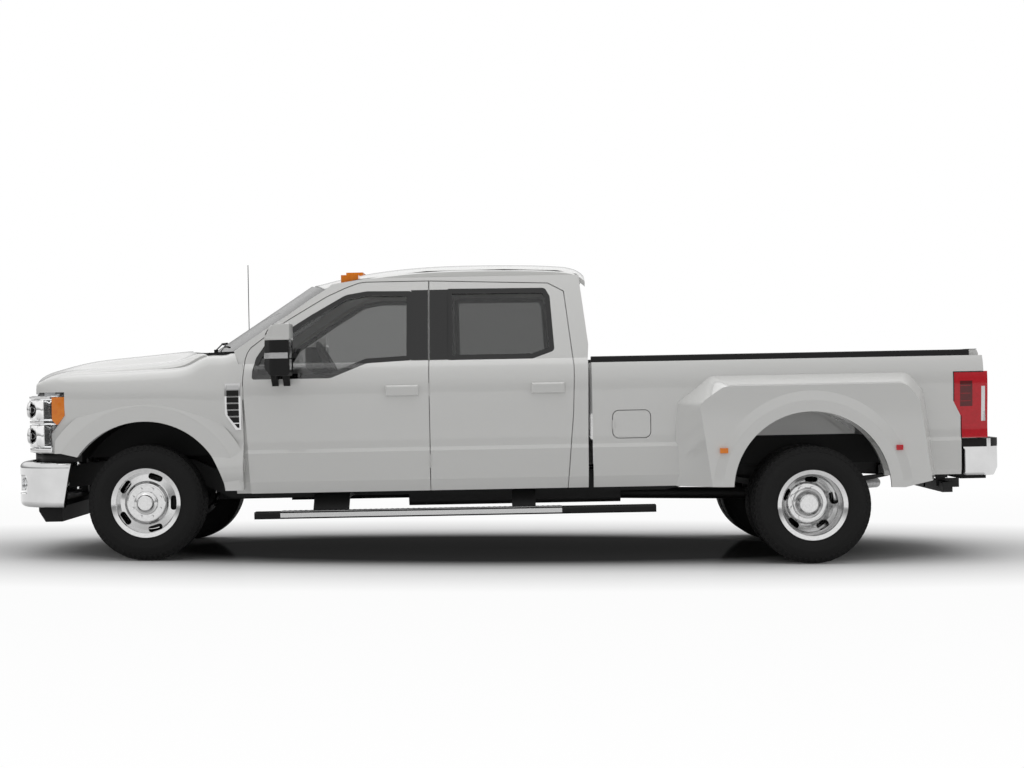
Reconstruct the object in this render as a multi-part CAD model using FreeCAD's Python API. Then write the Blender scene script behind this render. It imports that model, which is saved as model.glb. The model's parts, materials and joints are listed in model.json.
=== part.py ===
import FreeCAD, Part
import math
import os

# Full-size crew-cab pickup with twin rear wheels, in millimetres.
# +X points to the tail, +Y to the vehicle's right side, +Z up.
# The origin is on the ground, below the middle of the overall length and width.
# Side panels are drawn at their distance out from the middle plane and mirrored.
# The sprung body is drawn level and then raked about the front axle's foot.

# Overall plan
wheelbase = 4470.0
front_overhang = 958.0
rear_overhang = 1333.0
front_x = -(front_overhang + wheelbase + rear_overhang) / 2
front_axle_x = front_x + front_overhang
rear_axle_x = front_axle_x + wheelbase
rear_x = rear_axle_x + rear_overhang
rake_deg = 1.1
tyre_r = 392.0
arch_rise = 100.0
arch_shift = tyre_r * math.sin(math.radians(rake_deg))
front_arch_x = front_axle_x + arch_shift
rear_arch_x = rear_axle_x + arch_shift
rear_arch_z = tyre_r + arch_rise - wheelbase * math.sin(math.radians(rake_deg))

# General clearances
seat_gap = 0.3
shut_gap = 6.0
upper_shut_gap = 9.0
inner_gap = 11.0
overrun = 60.0

# Body side section, half-widths and heights from the sill to the drip rail
sill_z = 442.0
sill_half = 985.0
low_crease_z = 518.0
low_crease_half = 1008.0
high_crease_z = 711.0
high_crease_half = 1002.0
ledge_z = 736.0
ledge_half = 987.0
waist_z = 950.0
waist_half = 997.0
shoulder_z = 1190.0
shoulder_half = 1003.0
brow_z = 1262.0
brow_half = 984.0
belt_z = 1318.0
belt_half = 940.0
glass_bulge = 10.0
drip_z = 1895.0
drip_half = 715.0

# Cab
a_line_x = front_axle_x + 682.5
b_line_x = front_axle_x + 1935.5
c_line_x = front_axle_x + 2913.5
cab_rear_x = front_axle_x + 3012.0
door_top_z = 1866.0
door_skin = 25.0
door_core = 85.0
frame_core = 30.0
door_lap = 40.0
side_thickness = 122.0
pillar_thickness = 55.0
cab_inner_half = 862.0
pillar_setback = 37.0
floor_z = 580.0
floor_thickness = 35.0
firewall_x = front_axle_x + 560.0
firewall_thickness = 30.0
cowl_z = 1392.0
roof_crown_z = 2001.0
roof_thickness = 38.0
wall_thickness = 45.0
glass_thickness = 5.0
glass_setback = 10.0

# Load box
box_front_x = front_axle_x + 3034.5
box_rear_x = front_axle_x + 5672.0
box_top_z = 1284.0
box_inner_half = 850.0
box_skirt = 26.0
bed_floor_z = 790.0
bed_floor_thickness = 30.0
bed_wall = 28.0
cap_height = 41.0
cap_inset = 8.0
cap_round = 10.0
house_half = 640.0
house_wall = 18.0
arch_r = 523.0
flare_half = 1205.0
flare_wall = 26.0
tailgate_thickness = 80.0
tailgate_half = 844.0
tailgate_low_z = 735.0
tailgate_pin_inset = 14.0
tailgate_pin_r = 10.0

# Wheels and tyres
tyre_half_width = 122.0
tyre_bead_r = 216.0
tyre_bead_half = 90.0
tyre_wall_low_r = 296.0
tyre_wall_high_r = 356.0
tyre_wall_high_half = 120.0
tread_half = 100.0
tyre_sides = 56
flange_r = 234.0
flange_width = 7.0
rim_wall = 9.0
front_track_half = 867.5
rear_outer_half = 1086.0
rear_inner_half = 794.0
lug_count = 8
lug_circle_r = 100.0
lug_r = 11.0
slot_count = 5
slot_round_share = 0.9
rim_half = 92.0
edge_half = 99.5
bead_clearance = 1.0
barrel_r = tyre_bead_r - bead_clearance
well_r = 186.0

# Steering and axles
kingpin_half = 790.0
steer_arm = 110.0
axle_tube_r = 45.0

# Chassis rails
rail_outer_half = 435.0
rail_width = 75.0
rail_middle = rail_outer_half - rail_width / 2
rail_height = 150.0
rail_low_z = 385.0
rail_kick_z = 480.0
rail_front_rise = 75.0
rail_arch_rise = 125.0
rail_tail_drop = 50.0
rail_front_x = front_x + 190.0
rail_rear_x = rear_x - 250.0
rail_front_low_z = rail_low_z + rail_front_rise
rail_front_seat = 9.0
rail_front_top_z = rail_front_low_z + rail_height + rail_front_seat


def vec(x, y, z):
    return FreeCAD.Vector(x, y, z)


def block(x_low, x_high, y_low, y_high, z_low, z_high):
    return Part.makeBox(x_high - x_low, y_high - y_low, z_high - z_low, vec(x_low, y_low, z_low))


def cylinder_y(x, z, radius, y_low, y_high):
    return Part.makeCylinder(radius, y_high - y_low, vec(x, y_low, z), vec(0, 1, 0))


def rod(start, end, radius):
    run = end - start
    return Part.makeCylinder(radius, run.Length, start, run)


def fused(shapes):
    result = shapes[0]
    for shape in shapes[1:]:
        result = result.fuse(shape)
    return result.removeSplitter()


def mirrored(shape):
    return shape.mirror(vec(0, 0, 0), vec(0, 1, 0))


def both_sides(shape):
    return Part.makeCompound([mirrored(shape), shape])


def outline_wire(points, place):
    """A closed wire through (u, v) or (u, v, corner radius) points, put in space by place(u, v)."""
    starts = []
    arcs = []
    count = len(points)
    for index in range(count):
        corner = FreeCAD.Vector(points[index][0], points[index][1], 0)
        radius = points[index][2] if len(points[index]) > 2 else 0
        before = FreeCAD.Vector(points[index - 1][0], points[index - 1][1], 0)
        after_point = points[(index + 1) % count]
        after = FreeCAD.Vector(after_point[0], after_point[1], 0)
        if radius == 0:
            starts.append((corner, corner))
            arcs.append(None)
            continue
        back = (before - corner).normalize()
        ahead = (after - corner).normalize()
        half_angle = back.getAngle(ahead) / 2
        reach = radius / math.tan(half_angle)
        bisector = (back + ahead).normalize()
        middle = corner + bisector * (radius / math.sin(half_angle) - radius)
        starts.append((corner + back * reach, corner + ahead * reach))
        arcs.append(middle)
    edges = []
    for index in range(count):
        begin, end = starts[index]
        if arcs[index] is not None:
            arc = Part.Arc(place(begin.x, begin.y), place(arcs[index].x, arcs[index].y), place(end.x, end.y))
            edges.append(arc.toShape())
        following = starts[(index + 1) % count][0]
        if (following - end).Length > 0:
            edges.append(Part.LineSegment(place(end.x, end.y), place(following.x, following.y)).toShape())
    return Part.Wire(edges)


def side_face(points, half):
    """A face in a side view plane, from (x, z) points, at the given distance from the middle plane."""
    return Part.Face(outline_wire(points, lambda u, v: vec(u, half, v)))


def side_prism(points, half_low, half_high):
    return side_face(points, half_low).extrude(vec(0, half_high - half_low, 0))


def plan_prism(points, z_low, z_high):
    face = Part.Face(outline_wire(points, lambda u, v: vec(u, v, z_low)))
    return face.extrude(vec(0, 0, z_high - z_low))


def grown(face, distance, half_low, half_high):
    """A prism of the side view face, grown by the distance or shrunk by a negative one."""
    outline = face.makeOffset2D(distance, 2)
    outline.translate(vec(0, half_low - face.CenterOfMass.y, 0))
    return outline.extrude(vec(0, half_high - half_low, 0))


def spline(points):
    curve = Part.BSplineCurve()
    curve.interpolate(points)
    return curve.toShape()


def sheet(rows, push):
    """A solid under a smooth surface through rows of points, as thick as the push."""
    surface = Part.BSplineSurface()
    surface.interpolate(rows)
    return surface.toShape().extrude(push)


def side_curve(inset):
    """Edges of the body side's section from the sill up to the drip rail, moved inwards."""
    def at(half, z):
        return vec(0, half - inset, z)
    lower = [(sill_half, sill_z), (low_crease_half, low_crease_z), (high_crease_half, high_crease_z),
             (ledge_half, ledge_z)]
    edges = []
    for index in range(len(lower) - 1):
        edges.append(Part.LineSegment(at(*lower[index]), at(*lower[index + 1])).toShape())
    panel = [lower[-1], (waist_half, waist_z), (shoulder_half, shoulder_z), (brow_half, brow_z),
             (belt_half, belt_z)]
    edges.append(spline([at(half, z) for half, z in panel]))
    middle = at((belt_half + drip_half) / 2 + glass_bulge, (belt_z + drip_z) / 2)
    edges.append(Part.Arc(at(belt_half, belt_z), middle, at(drip_half, drip_z)).toShape())
    return edges


def side_band(inset, thickness, x_low, x_high):
    """The body side as a wall of the given thickness, set in by the inset, between two stations."""
    outer = side_curve(inset)
    inner = side_curve(inset + thickness)
    foot = Part.LineSegment(inner[0].Vertexes[0].Point, outer[0].Vertexes[0].Point).toShape()
    head = Part.LineSegment(outer[-1].Vertexes[-1].Point, inner[-1].Vertexes[-1].Point).toShape()
    wire = Part.Wire(Part.sortEdges(outer + inner + [foot, head])[0])
    face = Part.Face(wire)
    face.translate(vec(x_low, 0, 0))
    return face.extrude(vec(x_high - x_low, 0, 0))


def side_half(z):
    """How far out the body side lies at a height in the glass area."""
    share = (z - belt_z) / (drip_z - belt_z)
    return belt_half + (drip_half - belt_half) * share + 4 * glass_bulge * share * (1 - share)


# Outlines of the body side in the side view.
# The front pillar's line is in shares of its run along X and of the heights below and above the shoulder.
a_line_run = 822.0
a_line_low_shares = [(0.051, 0.0), (0.026, 0.443), (0.003, 0.860)]
a_line_high_shares = [(0.0, 0.0), (0.013, 0.233), (0.030, 0.298), (0.054, 0.345), (0.196, 0.479),
                      (0.325, 0.598), (0.488, 0.719), (0.675, 0.856), (0.825, 0.940), (0.940, 0.991)]
c_line_high_shares = [(0.165, 0.955), (0.057, 0.870), (0.0, 0.115), (0.0, 0.0)]
c_line_low_shares = [(0.010, 0.66), (0.057, 0.0)]


def a_line(shift):
    """Points of the line along the front door's leading edge, from the sill up, moved by the shift."""
    low = [(a_line_x + a_line_run * u + shift, sill_z + (shoulder_z - sill_z) * v)
           for u, v in a_line_low_shares]
    high = [(a_line_x + a_line_run * u + shift, shoulder_z + (door_top_z - shoulder_z) * v)
            for u, v in a_line_high_shares]
    return low + high


def c_line():
    """Points of the line along the rear door's trailing edge, from the top down."""
    length = c_line_x - b_line_x
    high = [(c_line_x - length * u, shoulder_z + (door_top_z - shoulder_z) * v) for u, v in c_line_high_shares]
    low = [(c_line_x - length * u, sill_z + (shoulder_z - sill_z) * v) for u, v in c_line_low_shares]
    return high + low


def b_edge(side):
    """Points of the shut line between the doors, from the top down, on one side of it."""
    wide = side * upper_shut_gap / 2
    narrow = side * shut_gap / 2
    return [(b_line_x + wide, door_top_z), (b_line_x + wide, belt_z), (b_line_x + narrow, shoulder_z),
            (b_line_x + narrow, sill_z)]


def front_door_face():
    return side_face(a_line(0) + [(a_line_x + a_line_run, door_top_z)] + b_edge(-1), 0)


def rear_door_face():
    return side_face(b_edge(1)[::-1] + c_line(), 0)


# Window openings in shares of each door's length and of the height from belt to door top
front_window_shares = [(0.047, -0.195, 0.013), (0.048, -0.09, 0.02), (0.064, 0.070, 0.06), (0.116, 0.247, 0.07),
                       (0.360, 0.600, 0.3), (0.545, 0.845, 0.12), (0.660, 0.888, 0.12), (0.905, 0.880, 0.012),
                       (0.905, 0.008, 0.012), (0.665, -0.020, 0.07), (0.560, -0.115, 0.05),
                       (0.470, -0.196, 0.05)]
rear_window_shares = [(0.129, 0.900, 0.012), (0.815, 0.890, 0.035), (0.848, 0.780, 0.03), (0.872, 0.095, 0.03),
                      (0.720, 0.0, 0.03), (0.129, 0.0, 0.012)]


def window_face(start_x, length, shares):
    height = door_top_z - belt_z
    points = [(start_x + length * u, belt_z + height * v, length * r) for u, v, r in shares]
    return side_face(points, 0)


def front_window_face():
    return window_face(a_line_x, b_line_x - a_line_x, front_window_shares)


def rear_window_face():
    return window_face(b_line_x, c_line_x - b_line_x, rear_window_shares)


half_reach = 1100.0


def door(face, window, handle_x):
    """One right-hand door: an outer skin that laps over a thicker inner panel, with its window cut."""
    low_x = face.BoundBox.XMin - overrun
    high_x = face.BoundBox.XMax + overrun
    skin = side_band(0, door_skin, low_x, high_x).common(grown(face, 0, 0, half_reach))
    inner = grown(face, -door_lap, 0, half_reach)
    under_belt = block(low_x, high_x, 0, half_reach, sill_z, belt_z)
    over_belt = block(low_x, high_x, 0, half_reach, belt_z, drip_z)
    core = side_band(door_skin, door_core, low_x, high_x).common(inner).common(under_belt)
    frame = side_band(door_skin, frame_core, low_x, high_x).common(inner).common(over_belt)
    body = fused([skin, core, frame]).cut(grown(window, 0, 0, half_reach))
    return body.fuse(handle(handle_x)).removeSplitter()


handle_z = 1118.0
handle_length = 224.0
handle_height = 74.0
handle_depth = 34.0
handle_round = 14.0


def handle(x):
    """A bar handle, standing off the door skin, with its foot sunk into it."""
    half_low = waist_half - door_skin / 2
    bar = block(x, x + handle_length, half_low, shoulder_half + handle_depth,
                handle_z - handle_height / 2, handle_z + handle_height / 2)
    outer = [edge for edge in bar.Edges if edge.BoundBox.YMin > shoulder_half]
    return bar.makeFillet(handle_round, outer)


def glass(window, half_inset):
    """A side window pane, just clear of its frame."""
    pane = side_band(half_inset, glass_thickness, window.BoundBox.XMin - overrun, window.BoundBox.XMax + overrun)
    return pane.common(grown(window, -seat_gap, 0, half_reach))


# Windshield and roof
screen_foot_x = front_axle_x + 612.5
screen_foot_z = 1406.0
screen_run = 619.0
screen_rise = 420.0
screen_edge_shares = [(0.0, 0.0), (0.370, 0.381), (0.580, 0.576), (0.829, 0.838), (1.0, 1.0)]
screen_bow_low = 262.0
screen_bow_high = 175.0
screen_sag_low = 8.0
screen_lift_high = 44.0
screen_thickness = 9.0


def screen_line():
    """Points of the windshield's side edge in the side view, from the cowl to the roof."""
    return [(screen_foot_x + screen_run * u, screen_foot_z + screen_rise * v) for u, v in screen_edge_shares]


def cab_side():
    """The fixed side of the cab around both doors, right side: pillars, roof rail, sill and hinge pillar."""
    foot_x = screen_foot_x + pillar_setback
    outline = a_line(-shut_gap)[:4] + [(foot_x, belt_z)]
    outline += [(x, z) for x, z in screen_line()]
    outline += [(screen_line()[-1][0] + pillar_setback, drip_z - pillar_setback), (a_line_x + a_line_run, drip_z),
                (cab_rear_x - wall_thickness, drip_z), (cab_rear_x - pillar_setback, drip_z - 2 * wall_thickness),
                (cab_rear_x + shut_gap, belt_z + 2 * wall_thickness), (cab_rear_x, belt_z),
                (cab_rear_x - door_skin / 2, sill_z)]
    panel = side_face(outline, 0)
    low_x = a_line_x - 2 * overrun - pillar_setback
    high_x = cab_rear_x + overrun
    under_belt = block(low_x, high_x, 0, half_reach, sill_z, belt_z)
    over_belt = block(low_x, high_x, 0, half_reach, belt_z, drip_z)
    prism = grown(panel, 0, 0, half_reach)
    lower = side_band(0, side_thickness, low_x, high_x).common(prism).common(under_belt)
    upper = side_band(0, pillar_thickness, low_x, high_x).common(prism).common(over_belt)
    side = lower.fuse(upper)
    for face in (front_door_face(), rear_door_face()):
        side = side.cut(door_opening(face))
    sill_x = a_line_x
    sill = block(sill_x, c_line_x, cab_inner_half, sill_half - door_skin - door_core - inner_gap,
                 sill_z, floor_z + door_skin)
    side = side.cut(block(low_x, high_x, 0, cab_inner_half, sill_z, belt_z))
    hinge_post = side_band(pillar_setback, side_thickness, a_line_x - overrun, a_line_x + overrun)
    hinge_post = hinge_post.common(block(low_x, high_x, cab_inner_half, half_reach, sill_z, belt_z))
    hinge_post = hinge_post.cut(door_opening(front_door_face()))
    return fused([side, sill, hinge_post] + door_hinges())


hinge_half = 1010.0
hinge_length = 90.0
hinge_heights = [640.0, 1120.0]
hinge_leaf = 4.0


def door_hinges():
    """The hinge barrels in both doors' leading shut gaps, each on a leaf from its post."""
    pieces = []
    for x in (a_line_x - shut_gap / 2, b_line_x):
        for z in hinge_heights:
            low_z = z - hinge_length / 2
            pieces.append(Part.makeCylinder(shut_gap / 2 - seat_gap, hinge_length, vec(x, hinge_half, low_z)))
            pieces.append(block(x - hinge_leaf / 2, x + hinge_leaf / 2, shoulder_half - side_thickness / 2,
                                hinge_half, low_z, low_z + hinge_length))
    return pieces


def door_opening(face):
    """What a door's opening takes out of the cab's side: a wide outer step and a narrower inner one."""
    low_x = face.BoundBox.XMin - 2 * overrun
    high_x = face.BoundBox.XMax + 2 * overrun
    outer = side_band(-overrun, overrun + door_skin + shut_gap, low_x, high_x)
    outer = outer.common(grown(face, shut_gap, 0, half_reach + overrun))
    through = grown(face, inner_gap - door_lap, 0, half_reach + overrun)
    return outer.fuse(through)


def windshield():
    """The bowed front glass, between the pillars, the cowl and the roof."""
    rows = []
    for u, v in screen_edge_shares[::2]:
        x = screen_foot_x + screen_run * u
        z = screen_foot_z + screen_rise * v
        half = side_half(z) - pillar_thickness
        bow = screen_bow_low + (screen_bow_high - screen_bow_low) * v
        lift = screen_lift_high * v + screen_sag_low
        row = []
        for share in (-1.0, -0.75, -0.4, 0.0, 0.4, 0.75, 1.0):
            middle = 1 - share * share
            row.append(vec(x - bow * middle, half * share, z + lift * middle))
        rows.append(row)
    return sheet(rows, vec(screen_thickness, 0, -screen_thickness / 2)).cut(roof_plan(-seat_gap))


roof_station_shares = [(0.0, 0.0), (0.085, 0.028), (0.19, 0.060), (0.43, 0.097), (0.71, 0.100),
                       (0.90, 0.088), (0.97, 0.066), (1.0, 0.030)]
roof_front_x = front_axle_x + 1082.5
roof_front_z = 1875.0
roof_rail_dip = 70.0
roof_front_bow = 150.0


def roof_rows():
    """Rows of points over the crowned roof, between the drip rails."""
    run = cab_rear_x + shut_gap - roof_front_x
    half = drip_half - pillar_thickness - seat_gap
    rows = []
    for u, v in roof_station_shares:
        x = roof_front_x + run * u
        z = roof_front_z + (roof_crown_z - roof_front_z) * 10 * v
        row = []
        for share in (-1.0, -0.9, -0.6, 0.0, 0.6, 0.9, 1.0):
            row.append(vec(x, half * share, z - roof_rail_dip * abs(share) ** 3))
        rows.append(row)
    return rows


def roof_plan(shift):
    """The roof's plan, as a tall prism whose bowed front edge is moved by the shift."""
    half = drip_half
    bow_x = roof_front_x + roof_front_bow + shift
    arc = Part.Arc(vec(bow_x, -half, 0), vec(roof_front_x + shift, 0, 0), vec(bow_x, half, 0)).toShape()
    back = Part.makePolygon([vec(bow_x, half, 0), vec(cab_rear_x, half, 0), vec(cab_rear_x, -half, 0),
                             vec(bow_x, -half, 0)])
    return Part.Face(Part.Wire([arc] + back.Edges)).extrude(vec(0, 0, 2 * roof_crown_z))


def cab_roof():
    """The roof panel, from the windshield's top to the rear wall."""
    return sheet(roof_rows(), vec(0, 0, -roof_thickness)).common(roof_plan(0))


rear_screen_half = 700.0
rear_screen_low_z = 1385.0
rear_screen_high_z = 1775.0
rear_screen_round = 60.0
rear_wall_top_z = 1885.0


def cab_back():
    """The cab's rear wall with its window opening."""
    low = cab_rear_x - door_skin
    top = cab_rear_x - wall_thickness - door_lap / 2
    section = [(low - wall_thickness, floor_z - floor_thickness), (low, floor_z - floor_thickness), (low, belt_z),
               (top, rear_wall_top_z), (top - wall_thickness, rear_wall_top_z), (low - wall_thickness, belt_z)]
    wall = side_prism(section, -cab_inner_half, cab_inner_half)
    sides = side_band(side_thickness + seat_gap, half_reach, low - 2 * overrun, low + overrun)
    upper = side_band(pillar_thickness + seat_gap, half_reach, low - 2 * overrun, low + overrun)
    split = block(low - 2 * overrun, low + overrun, -half_reach, half_reach, 0, belt_z)
    reach = fused([sides.common(split), upper.cut(split)])
    reach = reach.fuse(mirrored(reach))
    wall = wall.common(reach)
    wall = wall.cut(sheet(roof_rows(), vec(0, 0, roof_crown_z)))
    wall = wall.cut(sheet(roof_rows(), vec(0, 0, -roof_thickness - seat_gap)))
    opening = [(-rear_screen_half, rear_screen_low_z, rear_screen_round),
               (rear_screen_half, rear_screen_low_z, rear_screen_round),
               (rear_screen_half - rear_screen_round / 2, rear_screen_high_z, rear_screen_round),
               (-rear_screen_half + rear_screen_round / 2, rear_screen_high_z, rear_screen_round)]
    return wall, opening


def opening_prism(points, x_low, x_high, growth):
    wire = outline_wire(points, lambda u, v: vec(x_low, u, v))
    face = Part.Face(wire)
    if growth != 0:
        face = face.makeOffset2D(growth, 2)
    return face.extrude(vec(x_high - x_low, 0, 0))


def rear_wall_and_screen():
    wall, opening = cab_back()
    low_x = cab_rear_x - 4 * wall_thickness
    high_x = cab_rear_x + overrun
    hole = opening_prism(opening, low_x, high_x, 0)
    low = cab_rear_x - door_skin - wall_thickness / 2
    top = cab_rear_x - 1.5 * wall_thickness - door_lap / 2
    section = [(low, belt_z), (low + glass_thickness, belt_z), (top + glass_thickness, rear_wall_top_z),
               (top, rear_wall_top_z)]
    pane = side_prism(section, -cab_inner_half, cab_inner_half)
    pane = pane.common(opening_prism(opening, low_x, high_x, -seat_gap))
    return wall.cut(hole), pane


def cab_floor():
    """The floor pan, firewall and the rise under the rear bench."""
    half = cab_inner_half
    rear = cab_rear_x - door_skin - wall_thickness - seat_gap
    pan = block(firewall_x, rear, -half, half, floor_z - floor_thickness, floor_z)
    wall = block(firewall_x - firewall_thickness, firewall_x, -half, half, floor_z - floor_thickness, belt_z)
    return fused([pan, wall])


# Nose: the plan curve shared by the bumper, lamps and grille, in shares of its run and half-width
nose_x = front_x + 85.0
nose_half = 1000.0
nose_run = 330.0
nose_shares = [(0.0, 0.0), (0.012, 0.30), (0.055, 0.56), (0.16, 0.75), (0.41, 0.88), (0.74, 0.955), (1.10, 0.985)]


def nose_band(tip_x, run, thickness, z_low, z_high):
    """A band of the given thickness that follows the nose's curve round both corners."""
    outer_points = []
    inner_points = []
    for u, v in [(u, -v) for u, v in nose_shares[:0:-1]] + nose_shares:
        outer_points.append(vec(tip_x + run * u, nose_half * v, z_low))
        inner_points.append(vec(tip_x + thickness + run * u, (nose_half - thickness) * v, z_low))
    outer = spline(outer_points)
    inner = spline(inner_points)
    ends = [Part.LineSegment(outer_points[-1], inner_points[-1]).toShape(),
            Part.LineSegment(inner_points[0], outer_points[0]).toShape()]
    wire = Part.Wire(Part.sortEdges([outer, inner] + ends)[0])
    return Part.Face(wire).extrude(vec(0, 0, z_high - z_low))


# Front fenders, in shares of their run, of the nose's half-width and of the height from shoulder to cowl
fender_thickness = 20.0
fender_run = 1414.0
fender_rear_x = a_line_x - shut_gap
fender_low_z = 737.0
fender_tail_z = 466.0
front_arch_r = 550.0
front_ring_r = 655.0
front_flare_r = 740.0
front_flare_half = 1017.0
lip_set = 5.0
lip_round = 4.0
ring_round = 30.0
seam_half = 870.0
tab_front = 45.0
tab_rear = 8.0
tab_sink = 3.0
fender_shares = [(0.0, 0.892, 0.10), (0.0735, 0.945, 0.30), (0.1485, 0.975, 0.40), (0.29, 0.998, 0.446),
                 (0.522, 1.004, 0.50), (0.66, 1.004, 0.545), (0.73, 1.004, 0.64), (0.79, 1.003, 0.86),
                 (0.84, 1.003, 0.965), (0.92, 1.003, 0.985), (1.0, 1.003, 0.985)]
lamp_low_z = 740.0
lamp_high_z = 1150.0
lamp_rear_x = front_axle_x - 528.0
lamp_step_x = front_axle_x - 630.0
lamp_step_low_z = 870.0
lamp_step_high_z = 993.0
lamp_inner_half = 568.0
lamp_depth = 110.0


def lamp_outline(growth):
    """The lamp's outline in the side view, grown at its rear edges."""
    return [(front_x, lamp_low_z - growth), (lamp_step_x + growth, lamp_low_z - growth),
            (lamp_step_x + growth, lamp_step_low_z), (lamp_rear_x + growth, lamp_step_high_z),
            (lamp_rear_x + growth, lamp_high_z + growth), (front_x, lamp_high_z + growth)]


def fender_sheet():
    """The right front fender's outer surface, with the doors' section carried forwards, as a solid."""
    section = [(sill_z, sill_half), (low_crease_z, low_crease_half), (high_crease_z, high_crease_half),
               (ledge_z, ledge_half), (waist_z, waist_half), (shoulder_z, shoulder_half)]
    rows = []
    for u, half_share, seam_share in fender_shares:
        x = fender_rear_x - fender_run * (1 - u)
        half = nose_half * half_share
        seam_z = shoulder_z + (cowl_z - shoulder_z) * seam_share
        row = [vec(x, half + side - shoulder_half, z) for z, side in section]
        row.append(vec(x, half - (half - seam_half) * 0.30, shoulder_z + (seam_z - shoulder_z) * 0.62))
        row.append(vec(x, half - (half - seam_half) * 0.66, shoulder_z + (seam_z - shoulder_z) * 0.90))
        row.append(vec(x, seam_half - fender_thickness, seam_z))
        rows.append(row)
    return sheet(rows, vec(0, -fender_thickness, 0))


def ring(x, z, profile):
    """A solid of revolution about the crossways line through (x, z), from (radius, half) points."""
    face = Part.Face(outline_wire(profile, lambda radius, half: vec(x, half, z + radius)))
    return face.revolve(vec(x, 0, z), vec(0, 1, 0), 360)


def front_fender():
    """The right front fender with its wheel opening and raised lip."""
    low_x = fender_rear_x - fender_run
    panel = fender_sheet()
    outline = a_line(-shut_gap) + [(fender_rear_x, cowl_z), (low_x, cowl_z), (low_x, fender_low_z),
                                   (front_axle_x - front_arch_r, fender_low_z),
                                   (front_axle_x + front_arch_r, fender_tail_z),
                                   (a_line(-shut_gap)[0][0], fender_tail_z)]
    foot_z = belt_z - seat_gap
    pillar_foot = side_prism([(screen_foot_x + pillar_setback - seat_gap, foot_z), (fender_rear_x + overrun, foot_z),
                              (fender_rear_x + overrun, screen_foot_z), (screen_foot_x - seat_gap, screen_foot_z)],
                             0, half_reach)
    keep = side_prism(outline, seam_half, half_reach).cut(pillar_foot)
    inner = front_flare_half - 1.5 * fender_thickness
    lip = ring(front_arch_x, tyre_r, [(front_arch_r, inner), (front_arch_r, front_flare_half - lip_set, lip_round),
                                      (front_ring_r, front_flare_half, ring_round), (front_flare_r, inner)])
    ahead = front_axle_x - front_ring_r + overrun
    lip = lip.common(block(ahead, fender_rear_x, 0, half_reach, fender_tail_z, roof_crown_z))
    body = panel.fuse(lip).common(keep)
    body = body.cut(cylinder_y(front_arch_x, tyre_r, front_arch_r, 0, half_reach))
    body = body.cut(side_prism(lamp_outline(seat_gap), 0, half_reach))
    body = body.cut(vent_prism(0))
    tab = block(fender_rear_x - tab_front, fender_rear_x - tab_rear, shoulder_half - 2 * pillar_setback,
                high_crease_half - tab_sink, high_crease_z - tab_front, high_crease_z - tab_rear)
    post = side_band(pillar_setback - seat_gap, side_thickness, fender_rear_x - overrun, fender_rear_x)
    post = post.common(block(fender_rear_x - overrun, fender_rear_x, 0, half_reach, sill_z, belt_z))
    return fused([body, tab]).cut(post)


vent_x = front_axle_x + 558.0
vent_length = 108.0
vent_low_z = 874.0
vent_high_z = 1190.0
vent_chamfer = 70.0
vent_chamfer_rise = 105.0
vent_depth = 26.0
vent_frame = 13.0
vent_bar = 7.0
vent_bar_count = 7
vent_proud = 4.0


def vent_prism(growth):
    """The fender vent's opening, with its lower front corner cut off."""
    x_low = vent_x - growth
    x_high = vent_x + vent_length + growth
    outline = [(x_low, vent_low_z + vent_chamfer_rise), (x_low + vent_chamfer, vent_low_z - growth),
               (x_high, vent_low_z - growth), (x_high, vent_high_z + growth), (x_low, vent_high_z + growth)]
    return side_prism(outline, seam_half, half_reach)


def fender_vent():
    """The right fender's vent grille: a bright frame round crossbars, on a plate."""
    band = side_band(-vent_proud, vent_depth, vent_x - overrun, vent_x + vent_length + overrun)
    body = band.common(vent_prism(-seat_gap))
    pocket = side_band(-overrun, overrun + vent_depth / 3, vent_x - overrun, vent_x + vent_length + overrun)
    pocket = pocket.common(vent_prism(-vent_frame))
    pitch = (vent_high_z - vent_low_z) / vent_bar_count
    for index in range(1, vent_bar_count):
        z = vent_low_z + pitch * index
        pocket = pocket.cut(block(vent_x, vent_x + vent_length, seam_half, half_reach, z - vent_bar / 2,
                                  z + vent_bar / 2))
    return body.cut(pocket)


# Hood, in shares of its length and half-width
hood_front_x = front_x + 96.0
hood_front_bow = 140.0
hood_rear_x = front_axle_x + 192.0
hood_rear_bow = 240.0
hood_half = seam_half - 6.0
hood_thickness = 30.0
hood_low_z = 1165.0
hood_length_shares = [(0.0, 0.05, 0.0), (0.045, 0.40, 0.42), (0.13, 0.537, 0.683), (0.32, 0.734, 0.782),
                      (0.58, 0.857, 0.859), (0.76, 0.92, 0.955), (0.84, 0.95, 1.06), (0.92, 0.978, 1.36),
                      (1.0, 1.0, 1.50)]
hood_high_z = 1424.0
hood_seam_z = 1307.0
hood_cross_shares = [(0.0, 1.0), (0.3, 0.995), (0.5, 0.93), (0.63, 0.70), (0.82, 0.36), (1.0, 0.0)]


def hood_rows():
    """Rows of points over the hood, raised along its middle and rolled over at the nose."""
    cross = [(-v, g) for v, g in hood_cross_shares[:0:-1]] + hood_cross_shares
    rows = []
    for u, middle_share, seam_share in hood_length_shares:
        middle_z = hood_low_z + (hood_high_z - hood_low_z) * middle_share
        side_z = hood_low_z + (hood_seam_z - hood_low_z) * seam_share
        row = []
        for v, height_share in cross:
            start = hood_front_x + hood_front_bow * abs(v) ** 3
            end = hood_rear_x + hood_rear_bow * v * v
            z = side_z + (middle_z - side_z) * height_share
            row.append(vec(start + (end - start) * u, hood_half * v, z))
        rows.append(row)
    return rows


def hood():
    return sheet(hood_rows(), vec(0, 0, -hood_thickness))


cowl_thickness = 22.0
cowl_gap = 8.0
cowl_shares = [-1.0, -0.75, -0.5, -0.25, 0.0, 0.25, 0.5, 0.75, 1.0]


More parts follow.
